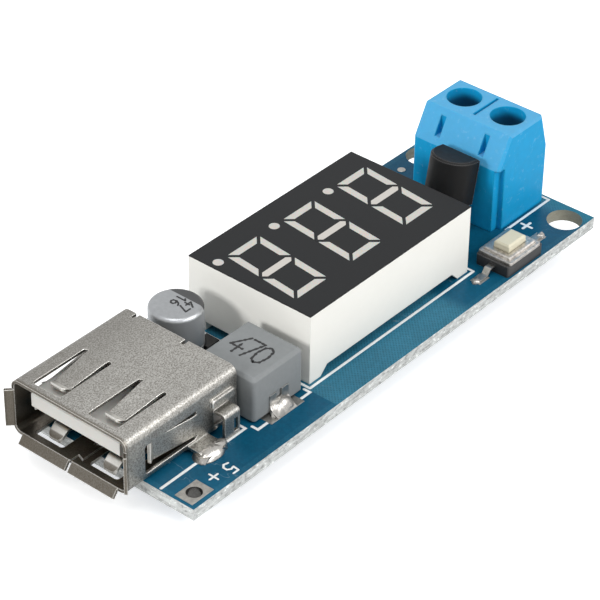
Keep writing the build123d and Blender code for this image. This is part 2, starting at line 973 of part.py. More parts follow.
def display_case():
    """Reflector case: open below for its board, with four feet and a well for each segment."""
    low_x = display_low_x
    high_x = low_x + display_length
    low_y = display_low_y
    high_y = low_y + display_width
    case = block(low_x, high_x, low_y, high_y, 0, display_height)
    case -= block(low_x + case_wall, high_x - case_wall, low_y + case_wall,
                  high_y - case_wall, 0, carrier_top())
    side_notch = polygon([
        (low_x + foot_inset, 0),
        (high_x - foot_inset, 0),
        (high_x - foot_inset - foot_slant, foot_clear),
        (low_x + foot_inset + foot_slant, foot_clear),
    ])
    case -= across(side_notch, low_y, high_y)
    case -= block(low_x, high_x, low_y + end_foot_inset, high_y - end_foot_inset,
                  0, foot_clear)
    for window in window_outlines():
        case -= upward(window, carrier_top(), display_height)
    return case


def display_segments():
    """Cast filling of each well, down to the lamps."""
    floor = carrier_top() + led_height
    return gather([upward(window, floor, display_height) for window in window_outlines()])


def display_chips():
    """Lamp under each filling."""
    floor = carrier_top()
    lamps = []
    for window in window_outlines():
        centre = window.center()
        lamps.append(centred_block(centre.X, centre.Y, led_size, led_size,
                                   floor, floor + led_height))
    return gather(lamps)


def pin_places():
    """Centres of the display's pins: six in the near row, five in the far row."""
    places = []
    for side, count in ((-1, near_pin_count), (1, far_pin_count)):
        for index in range(count):
            x = display_x + (index - (near_pin_count - 1) / 2) * pin_pitch
            places.append((x, display_y + side * pin_row_pitch / 2))
    return places


def display_carrier():
    """The display's own board, with a hole for each pin."""
    length = display_length - 2 * case_wall - 2 * carrier_slip
    width = display_width - 2 * case_wall - 2 * carrier_slip
    carrier = centred_block(display_x, display_y, length, width, foot_clear, carrier_top())
    return carrier - display_pins()


def display_pins():
    """Straight pins from the display's board through the circuit board."""
    low = -board_thickness - pin_tail
    return gather([
        centred_block(x, y, pin_size, pin_size, low, carrier_top())
        for x, y in pin_places()
    ])


def terminal_outline():
    """Side view of the terminal block: a step, a slope to the top, and a short back slope."""
    x = terminal_low_x
    end = x + terminal_length
    return polygon([
        (x, 0),
        (x, terminal_shoulder),
        (x + terminal_slope, terminal_height),
        (end - terminal_back_slope, terminal_height),
        (end, terminal_back_shoulder),
        (end, 0),
    ])


def terminal_housing():
    """Two-way moulded block with its wells, chambers, wire entries and outer grooves."""
    low_y = terminal_y - terminal_width / 2
    high_y = terminal_y + terminal_width / 2
    housing = across(terminal_outline(), low_y, high_y)
    ends = housing.faces().filter_by(Axis.Y)
    rims = [edge for face in ends for edge in face.edges() if edge.center().Z > 0]
    housing = chamfer(rims, terminal_edge)
    half = chamber_size / 2
    for y in pole_ys:
        housing -= post(pole_x, y, screw_well, chamber_top, terminal_height)
        housing -= centred_block(pole_x, y, chamber_size, chamber_size, 0, chamber_top)
        entry_middle = (wire_entry_low + wire_entry_high) / 2
        entry = RectangleRounded(wire_entry_width, wire_entry_high - wire_entry_low,
                                 wire_entry_corner)
        housing -= along(Pos(y, entry_middle) * entry, pole_x + half,
                         terminal_low_x + terminal_length)
        housing -= bar_room(y)
        housing -= centred_block(terminal_low_x + slope_notch_floor / 2, y,
                                 slope_notch_floor, slope_notch_width,
                                 slope_notch_low, slope_notch_high)
    housing -= centred_block(pole_x, terminal_y, divider_slot_length, divider_slot,
                             terminal_height - divider_slot_depth, terminal_height)
    housing -= block(terminal_low_x, terminal_low_x + rail_groove_length, low_y,
                     low_y + rail_groove_depth, 0, terminal_shoulder)
    return housing


def bar_room(y):
    """Slots in the block for one bar's leg and for its blade."""
    leg_x_centre = terminal_low_x + bar_leg_x
    top = bar_low + bar_sheet + bar_slip
    leg = centred_block(leg_x_centre, y, bar_sheet + 2 * bar_slip,
                        bar_width + 2 * bar_slip, 0, top)
    blade = block(leg_x_centre, pole_x, y - bar_width / 2 - bar_slip,
                  y + bar_width / 2 + bar_slip, bar_low - bar_slip - bar_bend, top)
    return leg + blade


def terminal_bars():
    """Bent bars: a blade above the wire and a leg that ends in the solder pin."""
    bars = []
    middle = bar_low + bar_sheet / 2
    leg_x_centre = terminal_low_x + bar_leg_x
    for y in pole_ys:
        view = strip([
            (leg_x_centre, 0),
            (leg_x_centre, middle),
            (leg_x_centre + bar_reach + bar_sheet, middle),
        ], bar_sheet, bar_bend)
        bar = across(view, y - bar_width / 2, y + bar_width / 2)
        bar += centred_block(leg_x_centre, y, bar_sheet, bar_leg_width, tip_z, 0)
        bars.append(bar)
    return gather(bars)


def cage_window_top():
    """Height of the cage's window above the bar when the clamp is open."""
    return bar_low + bar_sheet + cage_window_clearance


def clamp_cage(y):
    """Square ring round the bar, threaded for the screw in its roof."""
    roof = cage_window_top() + cage_roof
    height = roof - cage_low
    middle = (roof + cage_low) / 2
    cage = along(Pos(y, middle) * RectangleRounded(cage_width, height, cage_corner),
                 pole_x - cage_length / 2, pole_x + cage_length / 2)
    cage -= centred_block(pole_x, y, cage_length, cage_width - 2 * cage_side,
                          cage_low + cage_floor, cage_window_top())
    bore = screw_shaft + 2 * screw_thread_clearance
    return cage - post(pole_x, y, bore, cage_window_top(), roof)


def clamp_screw(y):
    """Slotted screw that stands on the bar under its well."""
    tip = bar_low + bar_sheet + screw_tip_clearance
    head_top = screw_head_low + screw_head_height
    screw = post(pole_x, y, screw_shaft, tip, screw_head_low)
    head = post(pole_x, y, screw_head, screw_head_low, head_top)
    head = chamfer(head.faces().sort_by(Axis.Z)[-1].edges(), screw_head_chamfer)
    slot = centred_block(pole_x, y, screw_head, screw_slot_width,
                         head_top - screw_slot_depth, head_top)
    return screw + head - slot


def switch_base():
    """Black base with a pocket for the button's flange and a well for the dome."""
    plan = RectangleRounded(switch_length, switch_width, switch_corner)
    base = upward(plan, 0, switch_base_height)
    pocket_low = flange_low - button_travel - travel_clearance
    base -= centred_block(0, 0, button_length + 2 * flange_side + 2 * button_clearance,
                          button_width + 2 * flange_side + 2 * button_clearance,
                          pocket_low, switch_base_height)
    base -= post(0, 0, dome_well, dome_floor, pocket_low)
    for slot in cover_hooks(cover_hook_slip):
        base -= slot
    return Pos(switch_centre_x, switch_y, 0) * base


def cover_hooks(slip):
    """Folded ends of the cover, or with a slip the slots that take them."""
    outer = switch_length / 2 - cover_setback + slip
    inner = outer - cover_hook_sheet - 2 * slip
    half = cover_hook_width / 2 + slip
    low = switch_base_height - cover_hook_depth - slip
    hook = block(inner, outer, -half, half, low, switch_base_height)
    return [hook, Rot(0, 0, 180) * hook]


def switch_cover():
    """Steel cover with a raised platform round the button and two folded ends."""
    low = switch_base_height
    top = low + cover_sheet
    platform_top = top + cover_platform_rise
    plan = RectangleRounded(switch_length - 2 * cover_setback, switch_width, switch_corner)
    cover = upward(plan, low, top)
    platform = centred_block(0, 0, cover_platform_length, cover_platform_width,
                             low, platform_top)
    cover += chamfer(platform.faces().sort_by(Axis.Z)[-1].edges(), cover_platform_edge)
    cover -= centred_block(0, 0, button_length + 2 * button_clearance,
                           button_width + 2 * button_clearance, low, platform_top)
    for hook in cover_hooks(0):
        cover += hook
    return Pos(switch_centre_x, switch_y, 0) * cover


def switch_contacts():
    """Two flat leads that step down from the base to their pads."""
    face = switch_length / 2
    low = pad_thickness + switch_lead_sheet / 2
    view = strip([
        (face, switch_lead_z),
        (face + switch_lead_shoulder, switch_lead_z),
        (face + switch_lead_shoulder + switch_lead_slope, low),
        (face + switch_lead_reach, low),
    ], switch_lead_sheet, switch_lead_bend)
    lead = across(view, -switch_lead_width / 2, switch_lead_width / 2)
    place = Pos(switch_centre_x, switch_y, 0)
    return gather([place * lead, place * Rot(0, 0, 180) * lead])


def dome_radius(rise):
    """Sphere radius of a cap with the dome's width and this rise."""
    half = dome_diameter / 2
    return (half * half + rise * rise) / (2 * rise)


def switch_dome():
    """Thin snap dome under the button."""
    outer = dome_radius(dome_rise)
    cap = Pos(0, 0, dome_floor + dome_rise - outer) * Sphere(outer)
    hollow = Pos(0, 0, dome_floor + dome_rise - outer) * Sphere(outer - dome_sheet)
    room = post(0, 0, dome_diameter, dome_floor, dome_floor + 2 * dome_rise)
    return Pos(switch_centre_x, switch_y, 0) * ((cap - hollow) & room)


def switch_button():
    """Button with a flange under the cover and a nub above the dome."""
    button = centred_block(0, 0, button_length, button_width, flange_low, button_top)
    button = chamfer(button.faces().sort_by(Axis.Z)[-1].edges(), button_chamfer)
    button += centred_block(0, 0, button_length + 2 * flange_side,
                            button_width + 2 * flange_side,
                            flange_low, flange_low + flange_thickness)
    button += post(0, 0, nub_diameter, dome_floor + dome_rise + dome_clearance, flange_low)
    return Pos(switch_centre_x, switch_y, 0) * button


def regulator_tilt():
    """Lean of the regulator toward the terminal, about its leads' feet."""
    return Pos(regulator_x, regulator_y, 0) * Rot(0, regulator_lean, 0)


def regulator_body():
    """Moulded body with one flat face, two short sides and a rounded back."""
    back = regulator_flat - regulator_depth
    side_end = back + regulator_half_width
    half = regulator_half_width
    straight = Polyline(
        (side_end, half),
        (regulator_flat, half),
        (regulator_flat, -half),
        (side_end, -half),
    )
    curve = ThreePointArc((side_end, -half), (back, 0), (side_end, half))
    section = make_face([*straight.edges(), *curve.edges()])
    body = upward(section, regulator_standoff, regulator_standoff + regulator_height)
    body = chamfer(body.faces().sort_by(Axis.Z)[-1].edges(), regulator_edge)
    return regulator_tilt() * body


def regulator_leads():
    """Three square leads that lean with the body and stand upright in the board."""
    leads = []
    half = regulator_lead / 2
    for index in (-1, 0, 1):
        y = index * regulator_lead_pitch
        sloped = regulator_tilt() * block(-half, half, y - half, y + half, 0,
                                          regulator_standoff)
        upright = centred_block(regulator_x, regulator_y + y, regulator_lead,
                                regulator_lead, tip_z, regulator_lead)
        leads.append(sloped + upright)
    return gather(leads)


def chip_places():
    """Centre and leads on each side of the two chips below the board."""
    return [
        (inductor_x, converter_y, converter_lead_count),
        (display_x, display_y, driver_lead_count),
    ]


def chip_lead_xs(lead_count):
    """Offsets of the leads along a chip."""
    middle = (lead_count - 1) / 2
    return [(index - middle) * chip_lead_pitch for index in range(lead_count)]


def chip_body(length):
    """Moulded chip body with a bevelled top and a round mark at its first lead."""
    body = centred_block(0, 0, length, chip_body_width, chip_lift,
                         chip_lift + chip_body_height)
    body = chamfer(body.faces().sort_by(Axis.Z)[-1].edges(), chip_chamfer)
    mark_x = -length / 2 + chip_mark_inset_x
    mark_y = -chip_body_width / 2 + chip_mark_inset_y
    top = chip_lift + chip_body_height
    return body - post(mark_x, mark_y, chip_mark, top - chip_mark_depth, top)


def chip_leads(lead_count):
    """Two rows of gull-wing leads."""
    face = chip_body_width / 2
    low = chip_lead_sheet / 2
    toe = chip_lead_span / 2
    leads = []
    for side in (-1, 1):
        view = trace(Polyline(
            (side * face, chip_lead_z),
            (side * (face + chip_lead_shoulder), chip_lead_z),
            (side * (toe - chip_lead_foot), low),
            (side * toe, low),
        ), line_width=chip_lead_sheet)
        for x in chip_lead_xs(lead_count):
            leads.append(along(view, x - chip_lead_width / 2, x + chip_lead_width / 2))
    return gather(leads)


def diode_body():
    """Moulded diode body."""
    body = centred_block(0, 0, diode_length, diode_width, 0, diode_height)
    body = chamfer(body.faces().sort_by(Axis.Z)[-1].edges(), diode_lead_sheet)
    return under(body, inductor_x, diode_y)


def diode_leads():
    """Two flat leads at the diode's ends."""
    leads = []
    for side in (-1, 1):
        centre = side * (diode_length + diode_span) / 4
        length = (diode_span - diode_length) / 2
        leads.append(centred_block(centre, 0, length, diode_lead_width, 0,
                                   diode_lead_sheet))
    return under(gather(leads), inductor_x, diode_y)


def small_bodies(places, length, width, height, end):
    """Bare middles of a row of two-ended parts."""
    body = centred_block(0, 0, width, length - 2 * end, 0, height)
    return gather([under(body, x, y) for x, y in places])


def small_ends(places, length, width, height, end):
    """Tinned ends of a row of two-ended parts."""
    ends = []
    for x, y in places:
        for side in (-1, 1):
            cap = centred_block(0, side * (length - end) / 2, width, end, 0, height)
            ends.append(under(cap, x, y))
    return gather(ends)


def lead_solder():
    """Cone of solder round each lead below the board."""
    cones = []
    for x, y, size_x, size_y, stub, margin in through_leads():
        wide = lead_hole(size_x, size_y) / 2 + margin
        narrow = math.hypot(size_x, size_y) / 2 + solder_collar
        height = min(solder_height, stub)
        cone = Cone(narrow, wide, height)
        cone = Pos(x, y, -board_thickness - height / 2) * cone
        cones.append(cone - centred_block(x, y, size_x, size_y, tip_z, 0))
    return cones


def leg_solder():
    """Mound of solder at each shell leg, above and below the board."""
    x, y = leg_places()[0]
    outline = Pos(x, y) * SlotOverall(leg_solder_length, leg_solder_width)
    upper = extrude(outline, amount=leg_solder_height, taper=leg_solder_taper)
    lower = Pos(0, 0, -board_thickness) * mirror(upper, about=Plane.XY)
    wall = socket_y - shell_width / 2
    room = block(x - leg_solder_length, x + leg_solder_length, wall - leg_solder_width,
                 wall, 0, leg_solder_height)
    near = [(upper & room) - shell_leg(), lower - shell_leg()]
    return near + [far_side(mound) for mound in near]


def toe_outline(edge, side, reach, height):
    """Hollow-faced solder fillet against a foot, seen from its end."""
    outer = edge + side * reach
    hollow = (edge + side * reach * toe_hollow, pad_thickness + height * toe_hollow)
    return make_face([
        Line((edge, pad_thickness), (outer, pad_thickness)),
        ThreePointArc((outer, pad_thickness), hollow, (edge, pad_thickness + height)),
        Line((edge, pad_thickness + height), (edge, pad_thickness)),
    ])


def toe_solder():
    """Fillets at the feet of the inductor, the capacitor and the switch."""
    fillets = []
    for side in (-1, 1):
        edge = inductor_low_y if side < 0 else inductor_low_y + inductor_width
        face = edge + side * (coil_lead_sheet - coil_lead_recess)
        reach = edge + side * coil_pad_reach - face
        fillets.append(along(toe_outline(face, side, abs(reach), toe_height),
                             inductor_x - coil_lead_width / 2,
                             inductor_x + coil_lead_width / 2))
        toe = switch_centre_x + side * (switch_length / 2 + switch_lead_reach)
        fillets.append(across(toe_outline(toe, side, switch_pad_margin, switch_lead_sheet),
                              switch_y - switch_lead_width / 2,
                              switch_y + switch_lead_width / 2))
        toe = inductor_x + side * cap_lead_span / 2
        fillets.append(across(toe_outline(toe, side, cap_pad_reach, cap_lead_sheet),
                              capacitor_y - cap_lead_width / 2,
                              capacitor_y + cap_lead_width / 2))
    return fillets


def solder_joints():
    """All the solder of the board."""
    return gather(lead_solder() + leg_solder() + toe_solder())


def all_parts():
    """Every sub-part by its node name."""
    contacts = usb_contacts()
    cap_row, resistor_row = small_part_rows()
    parts = {
        "circuit_board": circuit_board(),
        "tinned_pads": tinned_pads(),
        "solder_joints": solder_joints(),
        "usb_shell": usb_shell(),
        "usb_insulator": usb_insulator(contacts),
        "usb_contacts": contacts,
        "capacitor_can": capacitor_can(),
        "capacitor_base": capacitor_base(),
        "capacitor_leads": capacitor_leads(),
        "inductor_body": inductor_body(),
        "inductor_terminals": inductor_terminals(),
        "display_case": display_case(),
        "display_segments": display_segments(),
        "display_carrier": display_carrier(),
        "display_chips": display_chips(),
        "display_pins": display_pins(),
        "terminal_housing": terminal_housing(),
        "terminal_bars": terminal_bars(),
        "switch_base": switch_base(),
        "switch_cover": switch_cover(),
        "switch_contacts": switch_contacts(),
        "switch_dome": switch_dome(),
        "switch_button": switch_button(),
        "regulator_body": regulator_body(),
        "regulator_leads": regulator_leads(),
        "converter_chip": under(chip_body(converter_length), inductor_x, converter_y),
        "converter_chip_leads": under(chip_leads(converter_lead_count),
                                      inductor_x, converter_y),
        "driver_chip": under(chip_body(driver_length), display_x, display_y),
        "driver_chip_leads": under(chip_leads(driver_lead_count), display_x, display_y),
        "diode_body": diode_body(),
        "diode_leads": diode_leads(),
        "chip_capacitors": small_bodies(cap_row[0], cap_row[1], cap_row[2],
                                        chip_cap_height, cap_row[3]),
        "chip_capacitor_ends": small_ends(cap_row[0], cap_row[1], cap_row[2],
                                          chip_cap_height, cap_row[3]),
        "chip_resistors": small_bodies(resistor_row[0], resistor_row[1], resistor_row[2],
                                       chip_res_height, resistor_row[3]),
        "chip_resistor_ends": small_ends(resistor_row[0], resistor_row[1], resistor_row[2],
                                         chip_res_height, resistor_row[3]),
    }
    for number, y in enumerate(pole_ys, 1):
        parts[f"clamp_cage_{number}"] = clamp_cage(y)
        parts[f"clamp_screw_{number}"] = clamp_screw(y)
    return parts


def write_parts():
    """Put the origin under the middle of the whole part, and write one file for each node."""
    parts = all_parts()
    box = gather(parts.values()).bounding_box()
    middle = box.center()
    shift = Pos(-middle.X, -middle.Y, -box.min.Z)
    os.makedirs("parts", exist_ok=True)
    for name, shape in parts.items():
        export_step(shift * shape, f"parts/{name}.step")
    print("shift", -middle.X, -middle.Y, -box.min.Z, "size", box.size)


write_parts()
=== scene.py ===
"""Looks of a small step-down converter board: finishes for its solid pieces, printed marks and stage."""

from math import atan2, ceil, cos, pi, radians, sin, sqrt, tan

import bmesh
import bpy
from bpy.props import FloatProperty, FloatVectorProperty, PointerProperty
from mathutils import Matrix, Vector

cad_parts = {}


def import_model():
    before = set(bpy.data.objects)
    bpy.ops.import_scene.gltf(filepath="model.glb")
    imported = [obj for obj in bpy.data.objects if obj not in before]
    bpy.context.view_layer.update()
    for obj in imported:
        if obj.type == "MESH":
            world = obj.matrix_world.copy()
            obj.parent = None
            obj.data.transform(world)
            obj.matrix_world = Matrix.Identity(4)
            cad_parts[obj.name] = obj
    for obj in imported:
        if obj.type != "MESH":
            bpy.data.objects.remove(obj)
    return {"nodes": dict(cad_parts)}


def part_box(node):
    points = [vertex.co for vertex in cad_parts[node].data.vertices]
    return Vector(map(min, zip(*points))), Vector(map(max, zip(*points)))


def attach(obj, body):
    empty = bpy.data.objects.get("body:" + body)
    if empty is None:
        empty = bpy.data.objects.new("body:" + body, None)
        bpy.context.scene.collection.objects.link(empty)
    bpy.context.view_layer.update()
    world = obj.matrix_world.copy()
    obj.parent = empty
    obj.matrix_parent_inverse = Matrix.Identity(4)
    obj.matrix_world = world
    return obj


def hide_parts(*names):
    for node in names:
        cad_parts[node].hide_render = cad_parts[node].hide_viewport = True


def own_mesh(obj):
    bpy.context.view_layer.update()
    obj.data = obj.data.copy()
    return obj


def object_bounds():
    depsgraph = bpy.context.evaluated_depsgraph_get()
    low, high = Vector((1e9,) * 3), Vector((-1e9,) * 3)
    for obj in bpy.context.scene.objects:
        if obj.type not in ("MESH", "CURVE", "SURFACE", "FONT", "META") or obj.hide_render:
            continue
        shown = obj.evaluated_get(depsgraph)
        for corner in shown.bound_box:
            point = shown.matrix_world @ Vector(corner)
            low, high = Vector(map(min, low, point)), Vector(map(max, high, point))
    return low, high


bl_info = {
    "name": "Step-down converter board",
    "version": (1, 0, 0),
    "blender": (4, 5, 0),
    "location": "3D View > Sidebar > Converter",
    "description": "Finishes, printed marks and stage of a step-down converter board",
    "category": "Object",
}

MM = 0.001

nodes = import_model()["nodes"]
cad_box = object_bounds()
board_low, board_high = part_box("circuit_board")
case_low, case_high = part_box("display_case")
can_low, can_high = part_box("capacitor_can")
coil_low, coil_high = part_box("inductor_body")
clamp_low, clamp_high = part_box("terminal_housing")
shell_low, shell_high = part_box("usb_shell")

# Half the outer width of the socket's tube
SHELL_HALF = 6.55 * MM

# Where the top mask is darker, in millimetres along the board: copper under it ends, then a band of painted
# shade starts and ends
COPPER_AND_SHADE_ENDS = (18.3, 36.7, 54.6)

# The display's digits, in millimetres, and their lean
DIGIT_HALF, DIGIT_TOP, DIGIT_PITCH = 2.15, 4.4, 7.5
DIGIT_STROKE, DIGIT_GAP, BAR_INSET = 0.74, 0.24, 0.22
DIGIT_LEAN = tan(radians(6.0))

# The way in which most signs on the board are read, and their upward direction
READING, RISING = Vector((-1, 0, 0)), Vector((0, -1, 0))

# A pen line that turns by more than this, in radians, is broken there
SHARP_TURN = 1.0

# A frozen blob of solder from its foot up: share of the full reach, share of the full height
MOUND_RINGS = ((1.0, 0.0), (0.985, 0.1), (0.94, 0.3), (0.86, 0.52),
               (0.74, 0.72), (0.58, 0.87), (0.38, 0.96), (0.18, 0.99))

# Plain figures as pen lines, in a box one unit high and 0.6 wide
FIGURES = {
    "0": [[(0.3, 0), (0.08, 0.12), (0, 0.5), (0.08, 0.88), (0.3, 1),
           (0.52, 0.88), (0.6, 0.5), (0.52, 0.12), (0.3, 0)]],
    "1": [[(0.12, 0.78), (0.36, 1), (0.36, 0)]],
    "4": [[(0.5, 1), (0.02, 0.32), (0.66, 0.32)], [(0.42, 0.55), (0.42, 0)]],
    "5": [[(0.54, 1), (0.1, 1), (0.05, 0.56), (0.34, 0.62), (0.56, 0.46),
           (0.56, 0.18), (0.34, 0), (0.02, 0.08)]],
    "6": [[(0.5, 0.98), (0.22, 0.82), (0.02, 0.42), (0.1, 0.08), (0.32, 0),
           (0.56, 0.14), (0.56, 0.4), (0.34, 0.54), (0.06, 0.4)]],
    "7": [[(0, 1), (0.6, 1), (0.22, 0)]],
    "+": [[(0.02, 0.45), (0.58, 0.45)], [(0.3, 0.17), (0.3, 0.73)]],
    "-": [[(0.06, 0.45), (0.54, 0.45)]],
}


# Places

def on_board(x, y):
    """A point of the board's top face, given in millimetres from its near corner."""
    return Vector((board_low.x + x * MM, board_low.y + y * MM, board_high.z))


def on_digit(number, x, y):
    """A point given in millimetres from the middle of a leaning digit, which reads toward -X."""
    middle = (case_low + case_high) / 2
    return Vector((middle.x + (DIGIT_PITCH * number - x - y * DIGIT_LEAN) * MM, middle.y - y * MM))


# Mesh pieces

def add_object(name, data):
    """A new object in the scene that holds the data."""
    made = bpy.data.objects.new(name, data)
    bpy.context.scene.collection.objects.link(made)
    return made


def as_mesh(name, work):
    """What has been modelled, as a named mesh."""
    mesh = bpy.data.meshes.new(name)
    work.to_mesh(mesh)
    work.free()
    return mesh


def add_piece(name, work, material, body="board"):
    """What has been modelled becomes a named piece that rides on a body."""
    piece = add_object(name, as_mesh(name, work))
    piece.data.materials.append(material)
    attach(piece, body)
    return piece


def add_ring(work, centre, radius, height, turns):
    """A level ring of points that runs anticlockwise."""
    angles = [2 * pi * k / turns for k in range(turns)]
    return [work.verts.new((centre.x + radius * cos(t), centre.y + radius * sin(t), height))
            for t in angles]


def bridge(work, under, over):
    """Faces between two rings of as many points."""
    for corners in zip(under, under[1:] + under[:1], over[1:] + over[:1], over):
        work.faces.new(corners)


def close_ring(work, ring, tip):
    """Faces from a ring to one point."""
    for a, b in zip(ring, ring[1:] + ring[:1]):
        work.faces.new((a, b, tip))


def add_slab(work, outline, low, high):
    """A closed flat slab between two heights over an outline that runs anticlockwise."""
    under = [work.verts.new((p[0], p[1], low)) for p in outline]
    over = [work.verts.new((p[0], p[1], high)) for p in outline]
    work.faces.new(under[::-1])
    work.faces.new(over)
    bridge(work, under, over)


def stroke_outline(points, widths):
    """The outline of a pen stroke with round ends along a line of points."""
    cap_steps = 6
    spots = [Vector(p[:2]) for p in points]
    runs = [(b - a).normalized() for a, b in zip(spots, spots[1:])]
    left, right = [], []
    for i, spot in enumerate(spots):
        before, after = runs[max(i - 1, 0)], runs[min(i, len(runs) - 1)]
        middle = (before + after).normalized()
        side = Vector((-middle.y, middle.x))
        reach = widths[i] / 2 / max(0.5, side.dot(Vector((-before.y, before.x))))
        left.append(spot + side * reach)
        right.append(spot - side * reach)
    turns = [pi * (k + 1) / (cap_steps + 1) - pi / 2 for k in range(cap_steps)]
    caps = []
    for spot, run, reach in ((spots[-1], runs[-1], widths[-1] / 2), (spots[0], runs[0], -widths[0] / 2)):
        angle = atan2(run.y, run.x)
        caps.append([spot + Vector((cos(angle + t), sin(angle + t))) * reach for t in turns])
    return right + caps[0] + left[::-1] + caps[1]


def ink_strokes(name, strokes, width, low, high, material, waver=0.0):
    """Pen strokes as one thin piece, each a hair thicker than the last so that none share a face."""
    work = bmesh.new()
    for n, points in enumerate(strokes):
        widths = [width * (1 + waver * sin(2.6 * k + 2.3 * n)) for k in range(len(points))]
        extra = (high - low) * 0.04 * (n % 6)
        add_slab(work, stroke_outline(points, widths), low - extra, high + extra)
    add_piece(name, work, material)


def frame_lines(low, high):
    """A rectangle as four lines, so that its corners stay square."""
    corners = [Vector(p) for p in ((low.x, low.y), (high.x, low.y), (high.x, high.y), (low.x, high.y))]
    return list(zip(corners, corners[1:] + corners[:1]))


def finely(points, step):
    """The same line with points at most one step apart."""
    fine = []
    for a, b in zip(points, points[1:]):
        a, b = Vector(a[:2]), Vector(b[:2])
        count = max(1, ceil((b - a).length / step))
        fine += [a.lerp(b, k / count) for k in range(count)]
    return fine + [Vector(points[-1][:2])]


def at_turns(points):
    """The line broken where it turns sharply, so that every stroke keeps round ends."""
    points = [Vector(p) for p in points]
    runs = [[points[0]]]
    for a, b, c in zip(points, points[1:], points[2:]):
        runs[-1].append(b)
        if (b - a).angle(c - b) > SHARP_TURN:
            runs.append([b])
    runs[-1].append(points[-1])
    return runs


def figures(text, corner, height, along=READING, up=RISING, spacing=0.85, step=0.16, slim=1.0):
    """Strokes of plain figures from a corner, written along one direction and upward in another."""
    strokes = []
    for n, sign in enumerate(text):
        for line in FIGURES[sign]:
            for run in at_turns(line):
                strokes.append([corner + along * (height * slim * (x + n * spacing)) + up * (height * y)
                                for x, y in finely(run, step)])
    return strokes


def mound(name, x, y, reach, height, lean, material, seed):
    """Solder on the board: an uneven oval foot and a leaning, flattened top, sized in millimetres."""
    turns, floor = 40, board_high.z
    reach_x, reach_y, height, lean_x, lean_y = (size * MM for size in (*reach, height, *lean))
    work = bmesh.new()
    rings = []
    for share, rise in MOUND_RINGS:
        ring = []
        for k in range(turns):
            t = 2 * pi * k / turns
            wave = (1 + 0.05 * sin(3 * t + seed) + 0.035 * sin(5 * t + 2.1 * seed)
                    + 0.02 * sin(9 * t + seed))
            lift = 1 + 0.10 * share * sin(2 * t + 1.3 * seed) + 0.02 * sin(7 * t - seed)
            ring.append(work.verts.new((x + lean_x * rise + reach_x * share * wave * cos(t),
                                        y + lean_y * rise + reach_y * share * wave * sin(t),
                                        floor + height * rise * lift)))
        rings.append(ring)
    for under, over in zip(rings, rings[1:]):
        bridge(work, under, over)
    close_ring(work, rings[-1], work.verts.new((x + lean_x, y + lean_y, floor + height)))
    work.faces.new(rings[0][::-1])
    for side in work.faces:
        side.smooth = len(side.verts) < 5
    add_piece(name, work, material)


def barrels(name, centres, radius, wall, low, high, material, turns=36):
    """Open thin tubes of one size, such as the plating inside holes."""
    work = bmesh.new()
    for centre in centres:
        corners = ((radius, low), (radius, high), (radius - wall, high), (radius - wall, low))
        rings = [add_ring(work, centre, reach, height, turns) for reach, height in corners]
        for under, over in zip(rings, rings[1:] + rings[:1]):
            bridge(work, under, over)
    add_piece(name, work, material)


def snap_dome(name, node, sheet, material):
    """A thin domed spring of a node's width and rise, which stands for that node."""
    turns, steps = 40, 8
    low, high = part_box(node)
    middle, half, rise = (low + high) / 2, (high.x - low.x) / 2, high.z - low.z
    radius = (half * half + rise * rise) / (2 * rise)
    foot = sqrt((radius - sheet) ** 2 - (radius - rise) ** 2)
    profile = [(half * k / steps, radius) for k in range(1, steps + 1)]
    profile += [(foot * k / steps, radius - sheet) for k in range(steps, 0, -1)]
    work = bmesh.new()
    rings = [add_ring(work, middle, reach, high.z - radius + sqrt(bend * bend - reach * reach), turns)
             for reach, bend in profile]
    for inner, outer in zip(rings, rings[1:]):
        bridge(work, outer, inner)
    close_ring(work, rings[0], work.verts.new((middle.x, middle.y, high.z)))
    close_ring(work, rings[-1][::-1], work.verts.new((middle.x, middle.y, high.z - sheet)))
    piece = add_piece(name, work, material)
    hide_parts(node)
    return piece


def print_digits(dark, resin):
    """A dark film that leaves the outer strokes of each digit open, and the middle strokes on it."""
    inner = DIGIT_HALF - DIGIT_STROKE
    side = [(DIGIT_HALF + 0.01, 0), (DIGIT_HALF + 0.01, DIGIT_GAP),
            (inner, DIGIT_STROKE + DIGIT_GAP), (inner, DIGIT_TOP - DIGIT_STROKE)]
    film = side + [(-x, y) for x, y in side[::-1]]
    tip = DIGIT_HALF - BAR_INSET
    shoulder, edge = tip - DIGIT_STROKE / 2, DIGIT_STROKE / 2
    bar = [(tip, 0), (shoulder, edge), (-shoulder, edge), (-tip, 0)]
    for name, upper, material, height in (("display_film", film, dark, 0.008 * MM),
                                          ("middle_segments", bar, resin, 0.014 * MM)):
        outline = upper + [(-x, -y) for x, y in upper[1:-1]]
        work = bmesh.new()
        for number in (-1, 0, 1):
            add_slab(work, [on_digit(number, x, y) for x, y in outline], case_high.z, case_high.z + height)
        add_piece(name, work, material)


# Node materials

